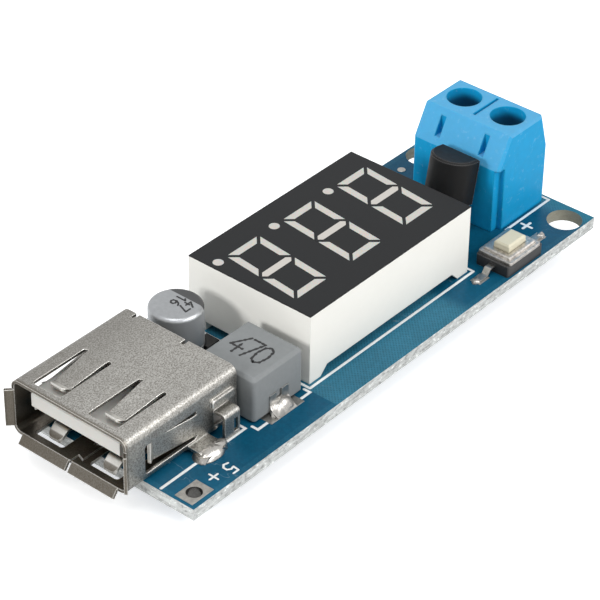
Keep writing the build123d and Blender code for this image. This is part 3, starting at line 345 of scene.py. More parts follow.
class Wiring:
    """Adds and joins the nodes of one tree."""

    def __init__(self, tree):
        self.tree = tree

    def add(self, kind, settings=None, **values):
        """A node; values are set on its sockets, or linked when they are outputs."""
        node = self.tree.nodes.new(kind)
        for key, value in (settings or {}).items():
            setattr(node, key, value)
        for key, value in values.items():
            by_number = key[0] == "i" and key[1:].isdigit()
            self.feed(node.inputs[int(key[1:]) if by_number else key.replace("_", " ")], value)
        return node

    def feed(self, socket, value):
        """Links an output into a socket, or sets a constant on it."""
        if isinstance(value, bpy.types.NodeSocket):
            self.tree.links.new(value, socket)
        else:
            socket.default_value = value

    def sum(self, kind, first, second=0.0, third=0.0, clamp=False):
        """One arithmetic step."""
        settings = {"operation": kind, "use_clamp": clamp}
        return self.add("ShaderNodeMath", settings, i0=first, i1=second, i2=third).outputs[0]

    def line(self, value, slope, offset, clamp=False):
        """The value times a slope, plus an offset."""
        return self.sum("MULTIPLY_ADD", value, slope, offset, clamp)

    def times(self, first, second):
        """Two values multiplied."""
        return self.sum("MULTIPLY", first, second)

    def minus(self, first, second):
        """The second value taken from the first."""
        return self.sum("SUBTRACT", first, second)

    def size(self, value):
        """The value without its sign."""
        return self.sum("ABSOLUTE", value)

    def most(self, first, second):
        """The greater of two values."""
        return self.sum("MAXIMUM", first, second)

    def noise(self, place, scale, detail=2.0, roughness=0.5):
        """Cloudy noise around one half."""
        node = self.add("ShaderNodeTexNoise", Vector=place, Scale=scale, Detail=detail, Roughness=roughness)
        return node.outputs["Fac"]

    def ramp(self, value, low, high):
        """A mask that runs smoothly from 0 at low to 1 at high, where low may be the greater."""
        settings = {"interpolation_type": "SMOOTHSTEP"}
        return self.add("ShaderNodeMapRange", settings, Value=value, From_Min=low, From_Max=high).outputs[0]

    def blend(self, mask, first, second):
        """One colour where the mask is 0, another where it is 1."""
        node = self.add("ShaderNodeMix", {"data_type": "RGBA"}, i0=mask, i6=first, i7=second)
        return node.outputs[2]

    def shades(self, mask, colour, first, second):
        """A colour tinted by one share where the mask is 0 and by another where it is 1."""
        return self.blend(mask, tint(colour, first), tint(colour, second))

    def wash(self, base, mask, share, colour):
        """The base with a share of a colour over it where the mask is 1."""
        return self.blend(self.times(mask, share), base, colour)

    def group(self, name, **values):
        """A shared effect placed with its own values."""
        tree = bpy.data.node_groups[name]
        return self.add("ShaderNodeGroup", {"node_tree": tree}, **values).outputs


def new_group(name, outputs, **inputs):
    """An empty node group: its wiring, the values given to it and what it hands on."""
    kinds = {"Place": "NodeSocketVector", "Normal": "NodeSocketVector", "Colour": "NodeSocketColor"}
    tree = bpy.data.node_groups.new(name, "ShaderNodeTree")
    for way, labels in (("INPUT", inputs), ("OUTPUT", outputs)):
        for label in labels:
            kind = kinds.get(label, "NodeSocketFloat")
            socket = tree.interface.new_socket(label, in_out=way, socket_type=kind)
            if way == "INPUT" and inputs[label] is not None:
                socket.default_value = inputs[label]
    given, made = tree.nodes.new("NodeGroupInput"), tree.nodes.new("NodeGroupOutput")
    return Wiring(tree), given.outputs, made.inputs


def shared_groups():
    """The effects that several finishes use, each built once."""
    work, given, made = new_group("Edge light", ("Mask", "Normal"), Radius=0.1 * MM, Contrast=3.0)
    rounded = work.add("ShaderNodeBevel", {"samples": 6}, Radius=given["Radius"]).outputs[0]
    flat = work.add("ShaderNodeNewGeometry").outputs["Normal"]
    facing = work.add("ShaderNodeVectorMath", {"operation": "DOT_PRODUCT"}, i0=rounded, i1=flat)
    bent = work.minus(1.0, facing.outputs["Value"])
    work.feed(made["Mask"], work.sum("MULTIPLY", bent, given["Contrast"], clamp=True))
    work.feed(made["Normal"], rounded)

    work, given, made = new_group("Fine grain", ("Mask", "Height"), Place=None, Scale=3000.0, Contrast=1.0)
    fine = work.noise(given["Place"], given["Scale"], 3.0, 0.6)
    wide = work.noise(given["Place"], work.times(given["Scale"], 0.13), 2.0, 0.5)
    both = work.line(work.minus(fine, 0.5), given["Contrast"], 0.5)
    work.feed(made["Mask"], work.line(work.minus(wide, 0.5), 0.35, both, clamp=True))
    work.feed(made["Height"], fine)

    work, given, made = new_group("Glass weave", ("Mask", "Height"), Place=None, Pitch=0.36 * MM)
    parts = work.add("ShaderNodeSeparateXYZ", Vector=given["Place"]).outputs
    turn = work.sum("DIVIDE", 2 * pi, given["Pitch"])
    across, along = (work.sum("SINE", work.times(parts[axis], turn)) for axis in "XY")
    height = work.line(work.times(across, along), 0.5, 0.5)
    work.feed(made["Height"], height)
    work.feed(made["Mask"], work.ramp(height, 0.55, 0.95))

    blue = (0.01, 0.1, 0.2, 1)
    work, given, made = new_group("Mask coat", ("Colour", "Height"), Place=None, Colour=blue, Weave=0.4)
    weave = work.group("Glass weave", Place=given["Place"])
    cloud = work.noise(given["Place"], 160, 3, 0.6)
    speck = work.noise(given["Place"], 2600, 2, 0.6)
    level = work.line(cloud, 0.5, work.line(speck, 0.5, 0.5))
    level = work.minus(level, work.times(weave["Mask"], given["Weave"]))
    shade = work.add("ShaderNodeVectorMath", {"operation": "SCALE"}, i0=given["Colour"], Scale=level)
    work.feed(made["Colour"], shade.outputs[0])
    work.feed(made["Height"], work.line(weave["Height"], 0.6, speck))

    work, given, made = new_group("Handling marks", ("Mask",), Place=None, Scale=900.0, Amount=0.5)
    fleck = work.ramp(work.noise(given["Place"], given["Scale"], 4.0, 0.65), 0.58, 0.72)
    work.feed(made["Mask"], work.times(fleck, given["Amount"]))


class Finish(Wiring):
    """One node material, put together step by step round its shader."""

    def __init__(self, name, **constants):
        if "Edge light" not in bpy.data.node_groups:
            shared_groups()
        self.material = bpy.data.materials.new(name)
        self.material.use_nodes = True
        super().__init__(self.material.node_tree)
        self.shader = self.tree.nodes["Principled BSDF"]
        self.place = self.tree.nodes.new("ShaderNodeTexCoord").outputs["Object"]
        self.axes = self.add("ShaderNodeSeparateXYZ", Vector=self.place).outputs
        normal = self.add("ShaderNodeNewGeometry").outputs["Normal"]
        self.facing = self.add("ShaderNodeSeparateXYZ", Vector=normal).outputs
        for key, value in constants.items():
            self.shader.inputs[key.replace("_", " ")].default_value = value

    def shared(self, name, **values):
        """A shared effect at this finish's place."""
        return self.group(name, Place=self.place, **values)

    def edges(self, radius, contrast=3.0):
        """Edges that shade as if they were rounded, with a mask of them."""
        return self.group("Edge light", Radius=radius, Contrast=contrast)

    def grain(self, scale, contrast=1.0):
        """A fine grain."""
        return self.shared("Fine grain", Scale=scale, Contrast=contrast)

    def streaks(self, scales, detail, roughness):
        """Noise stretched by a different scale along each axis."""
        node = self.add("ShaderNodeVectorMath", {"operation": "MULTIPLY"}, i0=self.place, i1=scales)
        return self.noise(node.outputs[0], 1, detail, roughness)

    def colour(self, value):
        """What the surface's colour is."""
        self.feed(self.shader.inputs["Base Color"], value)

    def rough(self, mask, low, high):
        """Roughness that runs from low to high with a mask."""
        self.feed(self.shader.inputs["Roughness"], self.line(mask, high - low, low))

    def relief(self, height, depth, edge=None):
        """A fine relief of a real depth, over rounded edges where those are given."""
        values = {"Strength": 1.0, "Distance": depth, "Height": height}
        if edge is not None:
            values["Normal"] = edge
        self.feed(self.shader.inputs["Normal"], self.add("ShaderNodeBump", **values).outputs[0])


def tint(colour, share):
    """A colour made darker or lighter by a share."""
    return (*(min(1.0, part * share) for part in colour[:3]), 1.0)


def plastic(name, colour, rough=(0.38, 0.52), edge=0.12 * MM, grain=2600, relief=0.004 * MM, edge_wear_and_highlight=0.25,
            spread=0.1, worn=None, **constants):
    """Moulded plastic: slight unevenness, fine grain and lighter edges, partly wear and partly painted
    highlight.
    """
    made = Finish(name, **constants)
    edges = made.edges(edge)
    speck = made.grain(grain)
    base = made.shades(speck["Mask"], colour, 1 - spread, 1 + spread)
    # Lighter edges: partly wear, partly painted highlight
    made.colour(made.wash(base, edges["Mask"], edge_wear_and_highlight, worn or tint(colour, 1.9)))
    made.rough(speck["Mask"], *rough)
    made.relief(speck["Height"], relief, edges["Normal"])
    return made.material


def metal(name, colour, dark, rough=(0.28, 0.42), edge=0.06 * MM, contrast=1.2):
    """Plated or bare metal with a fine speckle, darker stains and rounded edges."""
    made = Finish(name, Metallic=1.0)
    edges = made.edges(edge)
    speck = made.grain(3200, contrast)
    stain = made.shared("Handling marks", Scale=700, Amount=0.45)
    base = made.blend(speck["Mask"], dark, colour)
    made.colour(made.blend(stain["Mask"], base, dark))
    made.rough(speck["Mask"], *rough)
    made.relief(speck["Height"], 0.003 * MM, edges["Normal"])
    return made.material


def dress(material, *names):
    """Gives a finish to the solid pieces of these names."""
    for name in names:
        slots = nodes[name].data.materials
        if not slots:
            slots.append(material)
        for i in range(len(slots)):
            slots[i] = material
        for side in nodes[name].data.polygons:
            side.material_index = 0


# What a user may change

def colour_of(name, text, value):
    """A colour with a name, a description and a default."""
    return FloatVectorProperty(name=name, description=text, default=value, size=4, min=0, max=1,
                               subtype="COLOR")


def number_of(name, text, value, unit):
    """A number with a name, a description, a default and a unit."""
    return FloatProperty(name=name, description=text, default=value, unit=unit)


class BoardFinish(bpy.types.PropertyGroup):
    """Sizes and colours of the board and of what is printed on it."""
    mask: colour_of("Mask", "Blue mask on bare laminate", (0.030, 0.160, 0.245, 1))
    # This colour also darkens the band of painted shade on the top
    track: colour_of("Track", "Mask where copper lies under it", (0.0035, 0.080, 0.150, 1))
    fibre: colour_of("Fibre", "Glass fibre of the sawn edge", (0.64, 0.66, 0.65, 1))
    bore: colour_of("Bore", "Inside of the drilled holes", (0.34, 0.33, 0.27, 1))
    ink: colour_of("Ink", "Printed lines and signs", (0.86, 0.88, 0.88, 1))
    line: number_of("Line", "Width of the printed lines", 0.28 * MM, "LENGTH")
    ink_height: number_of("Ink height", "Thickness of the print", 0.015 * MM, "LENGTH")
    track_height: number_of("Track height", "How far a track stands up", 0.02 * MM, "LENGTH")
    via: number_of("Via", "Diameter of a via's ring", 0.75 * MM, "LENGTH")


class MetalFinish(bpy.types.PropertyGroup):
    """Colours of the metals."""
    nickel: colour_of("Nickel", "Light part of the socket shell", (0.56, 0.55, 0.52, 1))
    nickel_dark: colour_of("Dark nickel", "Dark specks of the socket shell", (0.235, 0.225, 0.205, 1))
    # Brown of the painted shade inside and round the socket's mouth, and of its stains
    bloom: colour_of("Nickel bloom", "Brown bloom inside the socket shell", (0.115, 0.098, 0.075, 1))
    solder: colour_of("Solder", "Solder joints", (0.47, 0.455, 0.43, 1))
    tin: colour_of("Tin", "Tinned pads and leads", (0.50, 0.49, 0.465, 1))
    aluminium: colour_of("Aluminium", "The capacitor's can", (0.46, 0.475, 0.49, 1))
    gold: colour_of("Gold", "Contacts in the socket", (0.80, 0.60, 0.30, 1))


class PlasticFinish(bpy.types.PropertyGroup):
    """Colours of the mouldings."""
    case: colour_of("Display case", "White of the display's case", (0.86, 0.85, 0.80, 1))
    face: colour_of("Display face", "Dark print on the display's face", (0.0075, 0.0082, 0.0092, 1))
    segment: colour_of("Segments", "Unlit segments", (0.575, 0.545, 0.505, 1))
    terminal: colour_of("Screw terminal", "Blue of the screw terminal", (0.008, 0.33, 0.64, 1))
    inductor: colour_of("Inductor", "Grey of the inductor", (0.215, 0.228, 0.232, 1))
    black: colour_of("Black mouldings", "Regulator, switch base and chips", (0.007, 0.007, 0.0073, 1))
    button: colour_of("Button", "Cream of the push button", (0.72, 0.68, 0.52, 1))
    insulator: colour_of("Insulator", "White of the socket's tongue", (0.56, 0.55, 0.52, 1))


class StageSettings(bpy.types.PropertyGroup):
    """Light round the object."""
    ambient: number_of("Ambient", "Strength of the even light", 0.34, "NONE")
    left: number_of("Left lamp", "Power of the lamp on the socket's side", 1.9, "POWER")
    right: number_of("Right lamp", "Power of the lamp on the button's side", 2.15, "POWER")
    over: number_of("Top lamp", "Power of the lamp behind and above", 1.55, "POWER")


# Finishes of the single pieces

def board_material(values):
    """Blue mask, darker where copper lies under it and in a band of painted shade, with pale sawn edges and
    tan drilled holes.
    """
    made = Finish("Board mask", Specular_IOR_Level=0.12)
    x = made.axes["X"]
    middle, half = (board_low + board_high) / 2, (board_high - board_low) / 2
    inward_x, inward_y = (made.minus(half[n], made.size(made.minus(made.axes[n], middle[n]))) for n in (0, 1))
    inward = made.sum("MINIMUM", inward_x, inward_y)

    # Copper under the mask ends crisply near the socket; from under the display to the terminal a band of
    # painted shade darkens the mask, with soft ends
    left, right, end = (on_board(spot, 0).x for spot in COPPER_AND_SHADE_ENDS)
    crisp, soft, softer = 0.03 * MM, 1.0 * MM, 1.2 * MM
    socket_side = made.ramp(x, left + crisp, left - crisp)
    painted_shade_band = made.times(made.ramp(x, right - soft, right + soft),
                             made.ramp(x, end + softer, end - softer))
    border = made.line(made.ramp(inward, 0.53 * MM, 0.6 * MM), 0.22, 0.78)
    # copper holds both the copper under the mask and the band of painted shade
    copper = made.times(made.sum("ADD", socket_side, painted_shade_band), border)
    plain = made.shared("Mask coat", Colour=values.mask)
    over = made.shared("Mask coat", Colour=values.track, Weave=0.04)
    flat = made.blend(copper, plain["Colour"], over["Colour"])
    teal, scratched = (0.004, 0.185, 0.275, 1), (0.30, 0.40, 0.45, 1)
    flat = made.wash(flat, made.ramp(x, on_board(53.5, 0).x, on_board(58.8, 0).x), 0.9, teal)

    # Hair scratches, in some places only
    hair = made.streaks((700, 260, 700), 2, 0.6)
    hair = made.ramp(made.size(made.minus(hair, 0.5)), 0.006, 0.002)
    worn = made.times(made.ramp(made.noise(made.place, 210, 2), 0.58, 0.66), 0.35)
    flat = made.blend(made.times(hair, worn), flat, scratched)

    # Layers and flakes of glass fibre where the board is sawn or drilled
    layers = made.streaks((300, 300, 2600), 4, 0.7)
    flakes = made.streaks((1700, 1700, 3400), 4, 0.7)
    edge = made.shades(made.ramp(layers, 0.35, 0.65), values.fibre, 0.72, 1.0)
    edge = made.blend(made.ramp(flakes, 0.56, 0.66), edge, tint(values.fibre, 1.35))
    edge = made.blend(made.ramp(flakes, 0.46, 0.36), edge, tint(values.fibre, 0.5))
    bore = made.shades(flakes, values.bore, 0.7, 1.25)
    drilled = made.ramp(inward, 0.05 * MM, 0.1 * MM)

    level_face = made.ramp(made.size(made.facing["Z"]), 0.4, 0.6)
    made.colour(made.blend(level_face, made.blend(drilled, edge, bore), flat))
    made.rough(level_face, 0.85, 0.3)
    rugged = made.times(made.minus(1.0, level_face), made.sum("ADD", layers, flakes))
    level = made.line(copper, 0.8, plain["Height"])
    made.relief(made.line(made.times(level, level_face), 0.03, rugged), 0.07 * MM)
    return made.material


def track_material(values):
    """The same mask where copper lies under it."""
    made = Finish("Mask over copper", Specular_IOR_Level=0.12)
    coat = made.shared("Mask coat", Colour=values.track, Weave=0.1)
    edges = made.edges(0.03 * MM)
    made.colour(made.blend(edges["Mask"], coat["Colour"], tint(values.track, 1.7)))
    made.rough(coat["Height"], 0.3, 0.4)
    made.relief(coat["Height"], 0.003 * MM, edges["Normal"])
    return made.material


def case_material(values):
    """White reflector case with a dark print on its face."""
    made = Finish("Display case white", Specular_IOR_Level=0.22)
    edges = made.edges(0.08 * MM)
    speck = made.grain(1400, 0.5)
    ragged = made.times(made.noise(made.place, 1800, 3), 0.07 * MM)
    printed = made.ramp(made.minus(made.axes["Z"], ragged), case_high.z - 0.13 * MM, case_high.z - 0.11 * MM)
    white = made.shades(speck["Mask"], values.case, 0.96, 1.03)
    face = made.shades(speck["Mask"], values.face, 0.86, 1.15)
    made.colour(made.blend(printed, white, face))
    made.rough(printed, 0.5, 0.46)
    made.relief(speck["Height"], 0.004 * MM, edges["Normal"])
    return made.material


def shell_material(values):
    """Satin nickel with a sandy speckle and stains, painted highlights on bends and edges, painted shade
    towards the far side, and brown painted shade inside and round the mouth.
    """
    made = Finish("Satin nickel", Metallic=1.0)
    light, dark, bloom = values.nickel, values.nickel_dark, values.bloom
    x, y, z = (made.axes[axis] for axis in "XYZ")
    middle, front = (shell_low.y + shell_high.y) / 2, shell_low.x
    edges = made.edges(0.11 * MM, 5.0)
    fine = made.grain(8000, 4.2)
    soft = made.grain(2600, 1.4)
    stain = made.shared("Handling marks", Scale=600, Amount=0.2)
    base = made.blend(fine["Mask"], dark, light)
    base = made.wash(base, soft["Mask"], 0.3, tint(dark, 0.9))
    # Painted shade: darker towards the far side of the shell
    far = made.ramp(y, middle - 2.0 * MM, shell_high.y - 0.5 * MM)
    base = made.wash(base, far, 0.6, tint(dark, 0.8))

    # Painted highlight where the sheet is bent across the socket, behind its mouth
    tilt = made.size(made.facing["X"])
    bend_highlight = made.times(made.ramp(tilt, 0.2, 0.5), made.ramp(tilt, 0.98, 0.9))
    bend_highlight = made.times(bend_highlight, made.ramp(x, front + 2.0 * MM, front + 2.4 * MM))
    base = made.wash(base, bend_highlight, 0.75, tint(light, 1.6))

    # Painted shade in brown on the inner faces of the tube and round its mouth, kept off the edges
    away = made.minus(y, middle)
    inward = made.ramp(made.times(made.sum("SIGN", away), made.facing["Y"]), -0.3, -0.6)
    walls = made.times(made.ramp(made.size(away), SHELL_HALF - 0.5 * MM, SHELL_HALF - 0.45 * MM), inward)
    bottom = made.times(made.ramp(z, board_high.z + 0.6 * MM, board_high.z + 0.5 * MM),
                        made.ramp(made.facing["Z"], 0.3, 0.6))
    roof = made.times(made.ramp(z, shell_high.z - 0.6 * MM, shell_high.z - 0.5 * MM),
                      made.ramp(made.facing["Z"], -0.3, -0.6))
    within = made.most(walls, made.most(bottom, roof))
    mouth = made.ramp(x, front + 1.1 * MM, front + 0.7 * MM)
    away_from_edges = made.minus(1.0, made.times(edges["Mask"], 0.9))
    base = made.wash(base, made.times(made.most(within, mouth), away_from_edges), 0.8, bloom)
    base = made.blend(stain["Mask"], base, bloom)

    # Painted shade, darker still, on the lip on the capacitor's side
    lip = made.times(made.ramp(y, middle + SHELL_HALF + 0.1 * MM, middle + SHELL_HALF + 0.3 * MM),
                     made.ramp(x, front + 1.4 * MM, front + 1.0 * MM))
    base = made.wash(base, lip, 0.75, tint(bloom, 0.5))
    # Painted highlight along the edges
    made.colour(made.wash(base, edges["Mask"], 0.8, tint(light, 1.6)))
    made.rough(fine["Mask"], 0.46, 0.3)
    made.relief(fine["Height"], 0.009 * MM, edges["Normal"])
    return made.material


def terminal_material(colour):
    """Blue moulding with lighter edges, partly wear and partly painted highlight, a painted sheen on faces
    that look up, and painted shade down in the screw wells.
    """
    made = Finish("Terminal blue", Subsurface_Weight=0.06, Subsurface_Scale=0.6 * MM, Specular_IOR_Level=0.12)
    edges = made.edges(0.25 * MM)
    speck = made.grain(1500)
    dust = made.shared("Handling marks", Scale=1900, Amount=0.12)
    base = made.shades(speck["Mask"], colour, 0.9, 1.08)
    # Lighter edges: partly wear, partly painted highlight
    base = made.wash(base, edges["Mask"], 0.25, tint(colour, 1.9))
    # Painted sheen on faces that look up
    base = made.wash(base, made.ramp(made.facing["Z"], 0.1, 0.6), 0.12, (0.75, 0.88, 0.95, 1))
    base = made.blend(dust["Mask"], base, (0.55, 0.75, 0.85, 1))
    # Painted shade down in the screw wells
    depth = made.ramp(made.axes["Z"], clamp_high.z - 0.3 * MM, clamp_high.z - 1.4 * MM)
    for name in ("clamp_screw_1", "clamp_screw_2"):
        low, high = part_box(name)
        across, along = (made.minus(made.axes[n], (low[n] + high[n]) / 2) for n in (0, 1))
        away = made.sum("SQRT", made.sum("ADD", made.times(across, across), made.times(along, along)))
        well_shade = made.times(made.ramp(away, 1.76 * MM, 1.71 * MM), depth)
        base = made.wash(base, well_shade, 0.9, (0.004, 0.045, 0.11, 1))
    made.colour(base)
    made.rough(speck["Mask"], 0.36, 0.5)
    made.relief(speck["Height"], 0.008 * MM, edges["Normal"])
    return made.material


def can_material(colour):
    """Drawn aluminium with a speckled top and lines round the side, and a dark print on a part of the top."""
    made = Finish("Can aluminium")
    edges = made.edges(0.08 * MM)
    speck = made.grain(2600)
    drawn = made.streaks((500, 500, 60), 3, 0.6)
    side = made.ramp(made.size(made.facing["Z"]), 0.8, 0.3)
    base = made.shades(speck["Mask"], colour, 0.72, 1.0)
    base = made.wash(base, side, 0.8, tint(colour, 1.45))
    base = made.wash(base, drawn, 0.25, tint(colour, 0.5))
    chord = (can_low.x + can_high.x) / 2 + (can_high.x - can_low.x) * 0.24
    marked = made.times(made.ramp(made.axes["X"], chord - 0.03 * MM, chord + 0.03 * MM),
                        made.ramp(made.axes["Z"], can_high.z - 0.42 * MM, can_high.z - 0.34 * MM))
    made.colour(made.blend(marked, base, (0.045, 0.046, 0.048, 1)))
    made.feed(made.shader.inputs["Metallic"], made.minus(1.0, marked))
    made.rough(side, 0.34, 0.55)
    made.relief(made.sum("ADD", speck["Height"], drawn), 0.005 * MM, edges["Normal"])
    return made.material


def solder_material(colour):
    """Frozen solder: bright, wavy, with dull patches."""
    made = Finish("Solder metal", Metallic=1.0)
    dull = made.ramp(made.noise(made.place, 900, 2), 0.45, 0.65)
    made.colour(made.shades(dull, colour, 0.95, 0.6))
    made.rough(dull, 0.26, 0.5)
    made.relief(made.noise(made.place, 1300, 2, 0.5), 0.06 * MM)
    return made.material


def segment_material(colour, depth=0.25):
    """Frosted resin of the display's segments; depth is how much light it lets in."""
    made = Finish("Segment resin", Subsurface_Weight=depth, Subsurface_Scale=0.8 * MM)
    speck = made.grain(1200, 0.6)
    made.colour(made.shades(speck["Mask"], colour, 0.92, 1.06))
    made.rough(speck["Mask"], 0.28, 0.4)
    made.relief(speck["Height"], 0.005 * MM)
    return made.material


# Operators: one for each piece or group of like pieces

class Step:
    """What all steps share."""

    def execute(self, context):
        """Builds what the step is for."""
        self.build(context.scene)
        return {"FINISHED"}


class CONVERTER_OT_board(Step, bpy.types.Operator):
    """Blue mask, sawn edges and the bare pads of the board"""
    bl_idname = "converter.board"
    bl_label = "Board"

    def build(self, scene):
        tin = scene.converter_metal.tin
        dress(board_material(scene.converter_board), "circuit_board")
        dress(metal("Pad tin", tin, tint(tin, 0.55), rough=(0.3, 0.45), contrast=1.6), "tinned_pads")
        # The tin inside the hole is darkened: painted shade
        plating_painted_dark = metal("Hole plating", tint(tin, 0.3), tint(tin, 0.1), rough=(0.12, 0.3))
        barrels("pad_barrel", [on_board(1.65, 1.42)], 0.72 * MM, 0.03 * MM,
                board_low.z, board_high.z + 0.05 * MM, plating_painted_dark)


class CONVERTER_OT_socket(Step, bpy.types.Operator):
    """Nickel shell, white insulator and contact strips of the socket"""
    bl_idname = "converter.socket"
    bl_label = "Socket"

    def build(self, scene):
        metals, plastics = scene.converter_metal, scene.converter_plastic
        dress(shell_material(metals), "usb_shell")
        dress(plastic("Insulator white", plastics.insulator, edge_wear_and_highlight=0.1, spread=0.04, Subsurface_Weight=0.1,
                      Subsurface_Scale=0.6 * MM), "usb_insulator")
        dress(metal("Contact gold", metals.gold, tint(metals.gold, 0.6)), "usb_contacts")


class CONVERTER_OT_capacitor(Step, bpy.types.Operator):
    """Aluminium can and black foot of the capacitor"""
    bl_idname = "converter.capacitor"
    bl_label = "Capacitor"

    def build(self, scene):
        dress(can_material(scene.converter_metal.aluminium), "capacitor_can")
        dress(plastic("Foot black", scene.converter_plastic.black), "capacitor_base")


class CONVERTER_OT_inductor(Step, bpy.types.Operator):
    """Grey moulding of the inductor"""
    bl_idname = "converter.inductor"
    bl_label = "Inductor"

    def build(self, scene):
        grey = scene.converter_plastic.inductor
        dress(plastic("Inductor grey", grey, rough=(0.5, 0.68), edge=0.2 * MM, grain=1900,
                      relief=0.01 * MM, edge_wear_and_highlight=0.3, spread=0.12), "inductor_body")


class CONVERTER_OT_display(Step, bpy.types.Operator):
    """Case, segments, carrier and chips of the display"""
    bl_idname = "converter.display"
    bl_label = "Display"

    def build(self, scene):
        plastics = scene.converter_plastic
        white = case_material(plastics)
        dress(white, "display_case")
        dress(segment_material(plastics.segment), "display_segments")
        print_digits(white, segment_material(plastics.segment, 0.0))
        dress(plastic("Carrier green", (0.05, 0.22, 0.09, 1)), "display_carrier")
        dress(plastic("Light chip", (0.5, 0.12, 0.08, 1), grain=6000), "display_chips")


class CONVERTER_OT_terminal(Step, bpy.types.Operator):
    """Blue housing, cages, screws and bars of the terminal"""
    bl_idname = "converter.terminal"
    bl_label = "Screw terminal"

    def build(self, scene):
        tin = scene.converter_metal.tin
        dress(terminal_material(scene.converter_plastic.terminal), "terminal_housing")
        zinc = metal("Zinc steel", (0.62, 0.62, 0.60, 1), (0.3, 0.3, 0.29, 1), rough=(0.25, 0.4))
        dress(zinc, "clamp_screw_1", "clamp_screw_2", "clamp_cage_1", "clamp_cage_2")
        dress(metal("Bar tin", tin, tint(tin, 0.6)), "terminal_bars")


class CONVERTER_OT_switch(Step, bpy.types.Operator):
    """Black base, steel cover, dome and cream button of the switch"""
    bl_idname = "converter.switch"
    bl_label = "Push button switch"

    def build(self, scene):
        plastics = scene.converter_plastic
        # Edges fully lightened to grey: a painted highlight along the edges
        dress(plastic("Switch black", tint(plastics.black, 3.2), rough=(0.4, 0.55), edge_wear_and_highlight=1.0,
                      worn=(0.15, 0.15, 0.15, 1)), "switch_base")
        dress(plastic("Button cream", plastics.button, rough=(0.3, 0.4), edge_wear_and_highlight=0.1, spread=0.05),
              "switch_button")
        steel = metal("Cover steel", (0.74, 0.70, 0.65, 1), (0.34, 0.32, 0.30, 1), rough=(0.3, 0.46),
                      edge=0.12 * MM, contrast=2.0)
        dress(steel, "switch_cover", "switch_dome")
        dome = snap_dome("switch_spring", "switch_dome", 0.06 * MM, steel)
        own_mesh(dome)


class CONVERTER_OT_regulator(Step, bpy.types.Operator):
    """Black moulding of the three-lead regulator and of the chips and diode under the board"""
    bl_idname = "converter.regulator"
    bl_label = "Regulator and chips"

    def build(self, scene):
        black = scene.converter_plastic.black
        # Edges fully lightened to grey: a painted highlight along the edges
        dress(plastic("Regulator black", black, rough=(0.42, 0.58), edge=0.2 * MM, grain=1700,
                      relief=0.01 * MM, edge_wear_and_highlight=1.0, spread=0.2, worn=(0.2, 0.2, 0.2, 1),
                      Specular_IOR_Level=0.18),
              "regulator_body", "converter_chip", "driver_chip", "diode_body")


class CONVERTER_OT_small_parts(Step, bpy.types.Operator):
    """Ceramic bodies of the small parts under the board"""
    bl_idname = "converter.small_parts"
    bl_label = "Small parts"

    def build(self, scene):
        dress(plastic("Ceramic tan", (0.42, 0.27, 0.15, 1), grain=5000), "chip_capacitors")
        dress(plastic("Ceramic black", (0.025, 0.025, 0.028, 1), grain=5000), "chip_resistors")


class CONVERTER_OT_solder(Step, bpy.types.Operator):
    """Solder joints, and the tinned leads that stand in them"""
    bl_idname = "converter.solder"
    bl_label = "Solder and leads"

    def build(self, scene):
        metals = scene.converter_metal
        solder = solder_material(metals.solder)
        dress(solder, "solder_joints")
        middle, leg = (shell_low.y + shell_high.y) / 2, on_board(6.3, 3.72)
        for number, side in enumerate((1, -1), 1):
            mound(f"leg_solder_{number}", leg.x, middle + side * (leg.y - middle), (1.85, 0.9), 0.76,
                  (0.32, side * 0.12), solder, number)
        low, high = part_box("inductor_terminals")
        for number, (y, side) in enumerate(((low.y, 1), (high.y, -1)), 1):
            mound(f"coil_solder_{number}", (low.x + high.x) / 2, y - side * 0.28 * MM, (1.45, 0.72), 1.0,
                  (0.1, side * 0.34), solder, 2 + number)
        low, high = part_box("switch_contacts")
        for number, x in enumerate((low.x, high.x), 1):
            mound(f"switch_solder_{number}", x, (low.y + high.y) / 2, (0.5, 0.42), 0.32, (0, 0),
                  solder, 4 + number)
        leads = metal("Lead tin", metals.tin, tint(metals.tin, 0.55), rough=(0.24, 0.4))
        dress(leads, "capacitor_leads", "inductor_terminals", "display_pins", "switch_contacts",
              "regulator_leads", "converter_chip_leads", "driver_chip_leads", "diode_leads",
              "chip_capacitor_ends", "chip_resistor_ends")


class CONVERTER_OT_tracks(Step, bpy.types.Operator):
    """Copper tracks under the mask and tinned vias on the underside"""
    bl_idname = "converter.tracks"
    bl_label = "Tracks and vias"

    def build(self, scene):
        values, metals = scene.converter_board, scene.converter_metal
        lead_pitch, pin_pitch = 1.27, 2.51
        fine = []
        for k, n in enumerate((0, 1, 3, 4, 6, 7)):
            lead, pin = 25.74 + lead_pitch * n, 23.91 + pin_pitch * k
            fine.append([(lead, 7.9), (lead, 6.9), (pin, 6.2), (pin, 5.7)])
            if k < 5:
                fine.append([(lead, 13.4), (lead, 14.2), (pin, 15.0), (pin, 17.4)])
        for k in range(4):
            lead, rise = 12.8 + lead_pitch * k, 0.3 * k
            fine.append([(lead, 9.7), (lead, 10.6 + rise), (lead + 0.6, 11.2 + rise)])
        wide = [
            [(16.6, 4.3), (18.2, 2.7), (47.5, 2.7), (51.6, 6.8)],
            [(12.9, 4.3), (11.2, 2.6), (4.0, 2.6)],
            [(16.2, 13.0), (19.2, 13.0), (20.4, 14.2)],
        ]
        coat = track_material(values)
        low, high = board_low.z - values.track_height, board_low.z
        for name, lines, width in (("thin_tracks", fine, 0.3 * MM), ("wide_tracks", wide, 1.1 * MM)):
            runs = [run for line in lines for run in at_turns([on_board(*spot) for spot in line])]
            ink_strokes(name, runs, width, low, high, coat)
        spots = [line[-1] for line in fine if line[-1][1] < 14 and line[-1][0] < 20]
        spots += [(19.4, 2.7), (24.0, 2.7), (31.0, 2.7), (38.2, 2.7),
                  (41.0, 12.4), (42.6, 16.0), (22.4, 10.1)]
        tinned = metal("Via tin", metals.tin, tint(metals.tin, 0.6), rough=(0.3, 0.45))
        barrels("via_rings", [on_board(*spot) for spot in spots], values.via / 2, values.via * 0.22,
                low - 0.01 * MM, high, tinned, turns=20)


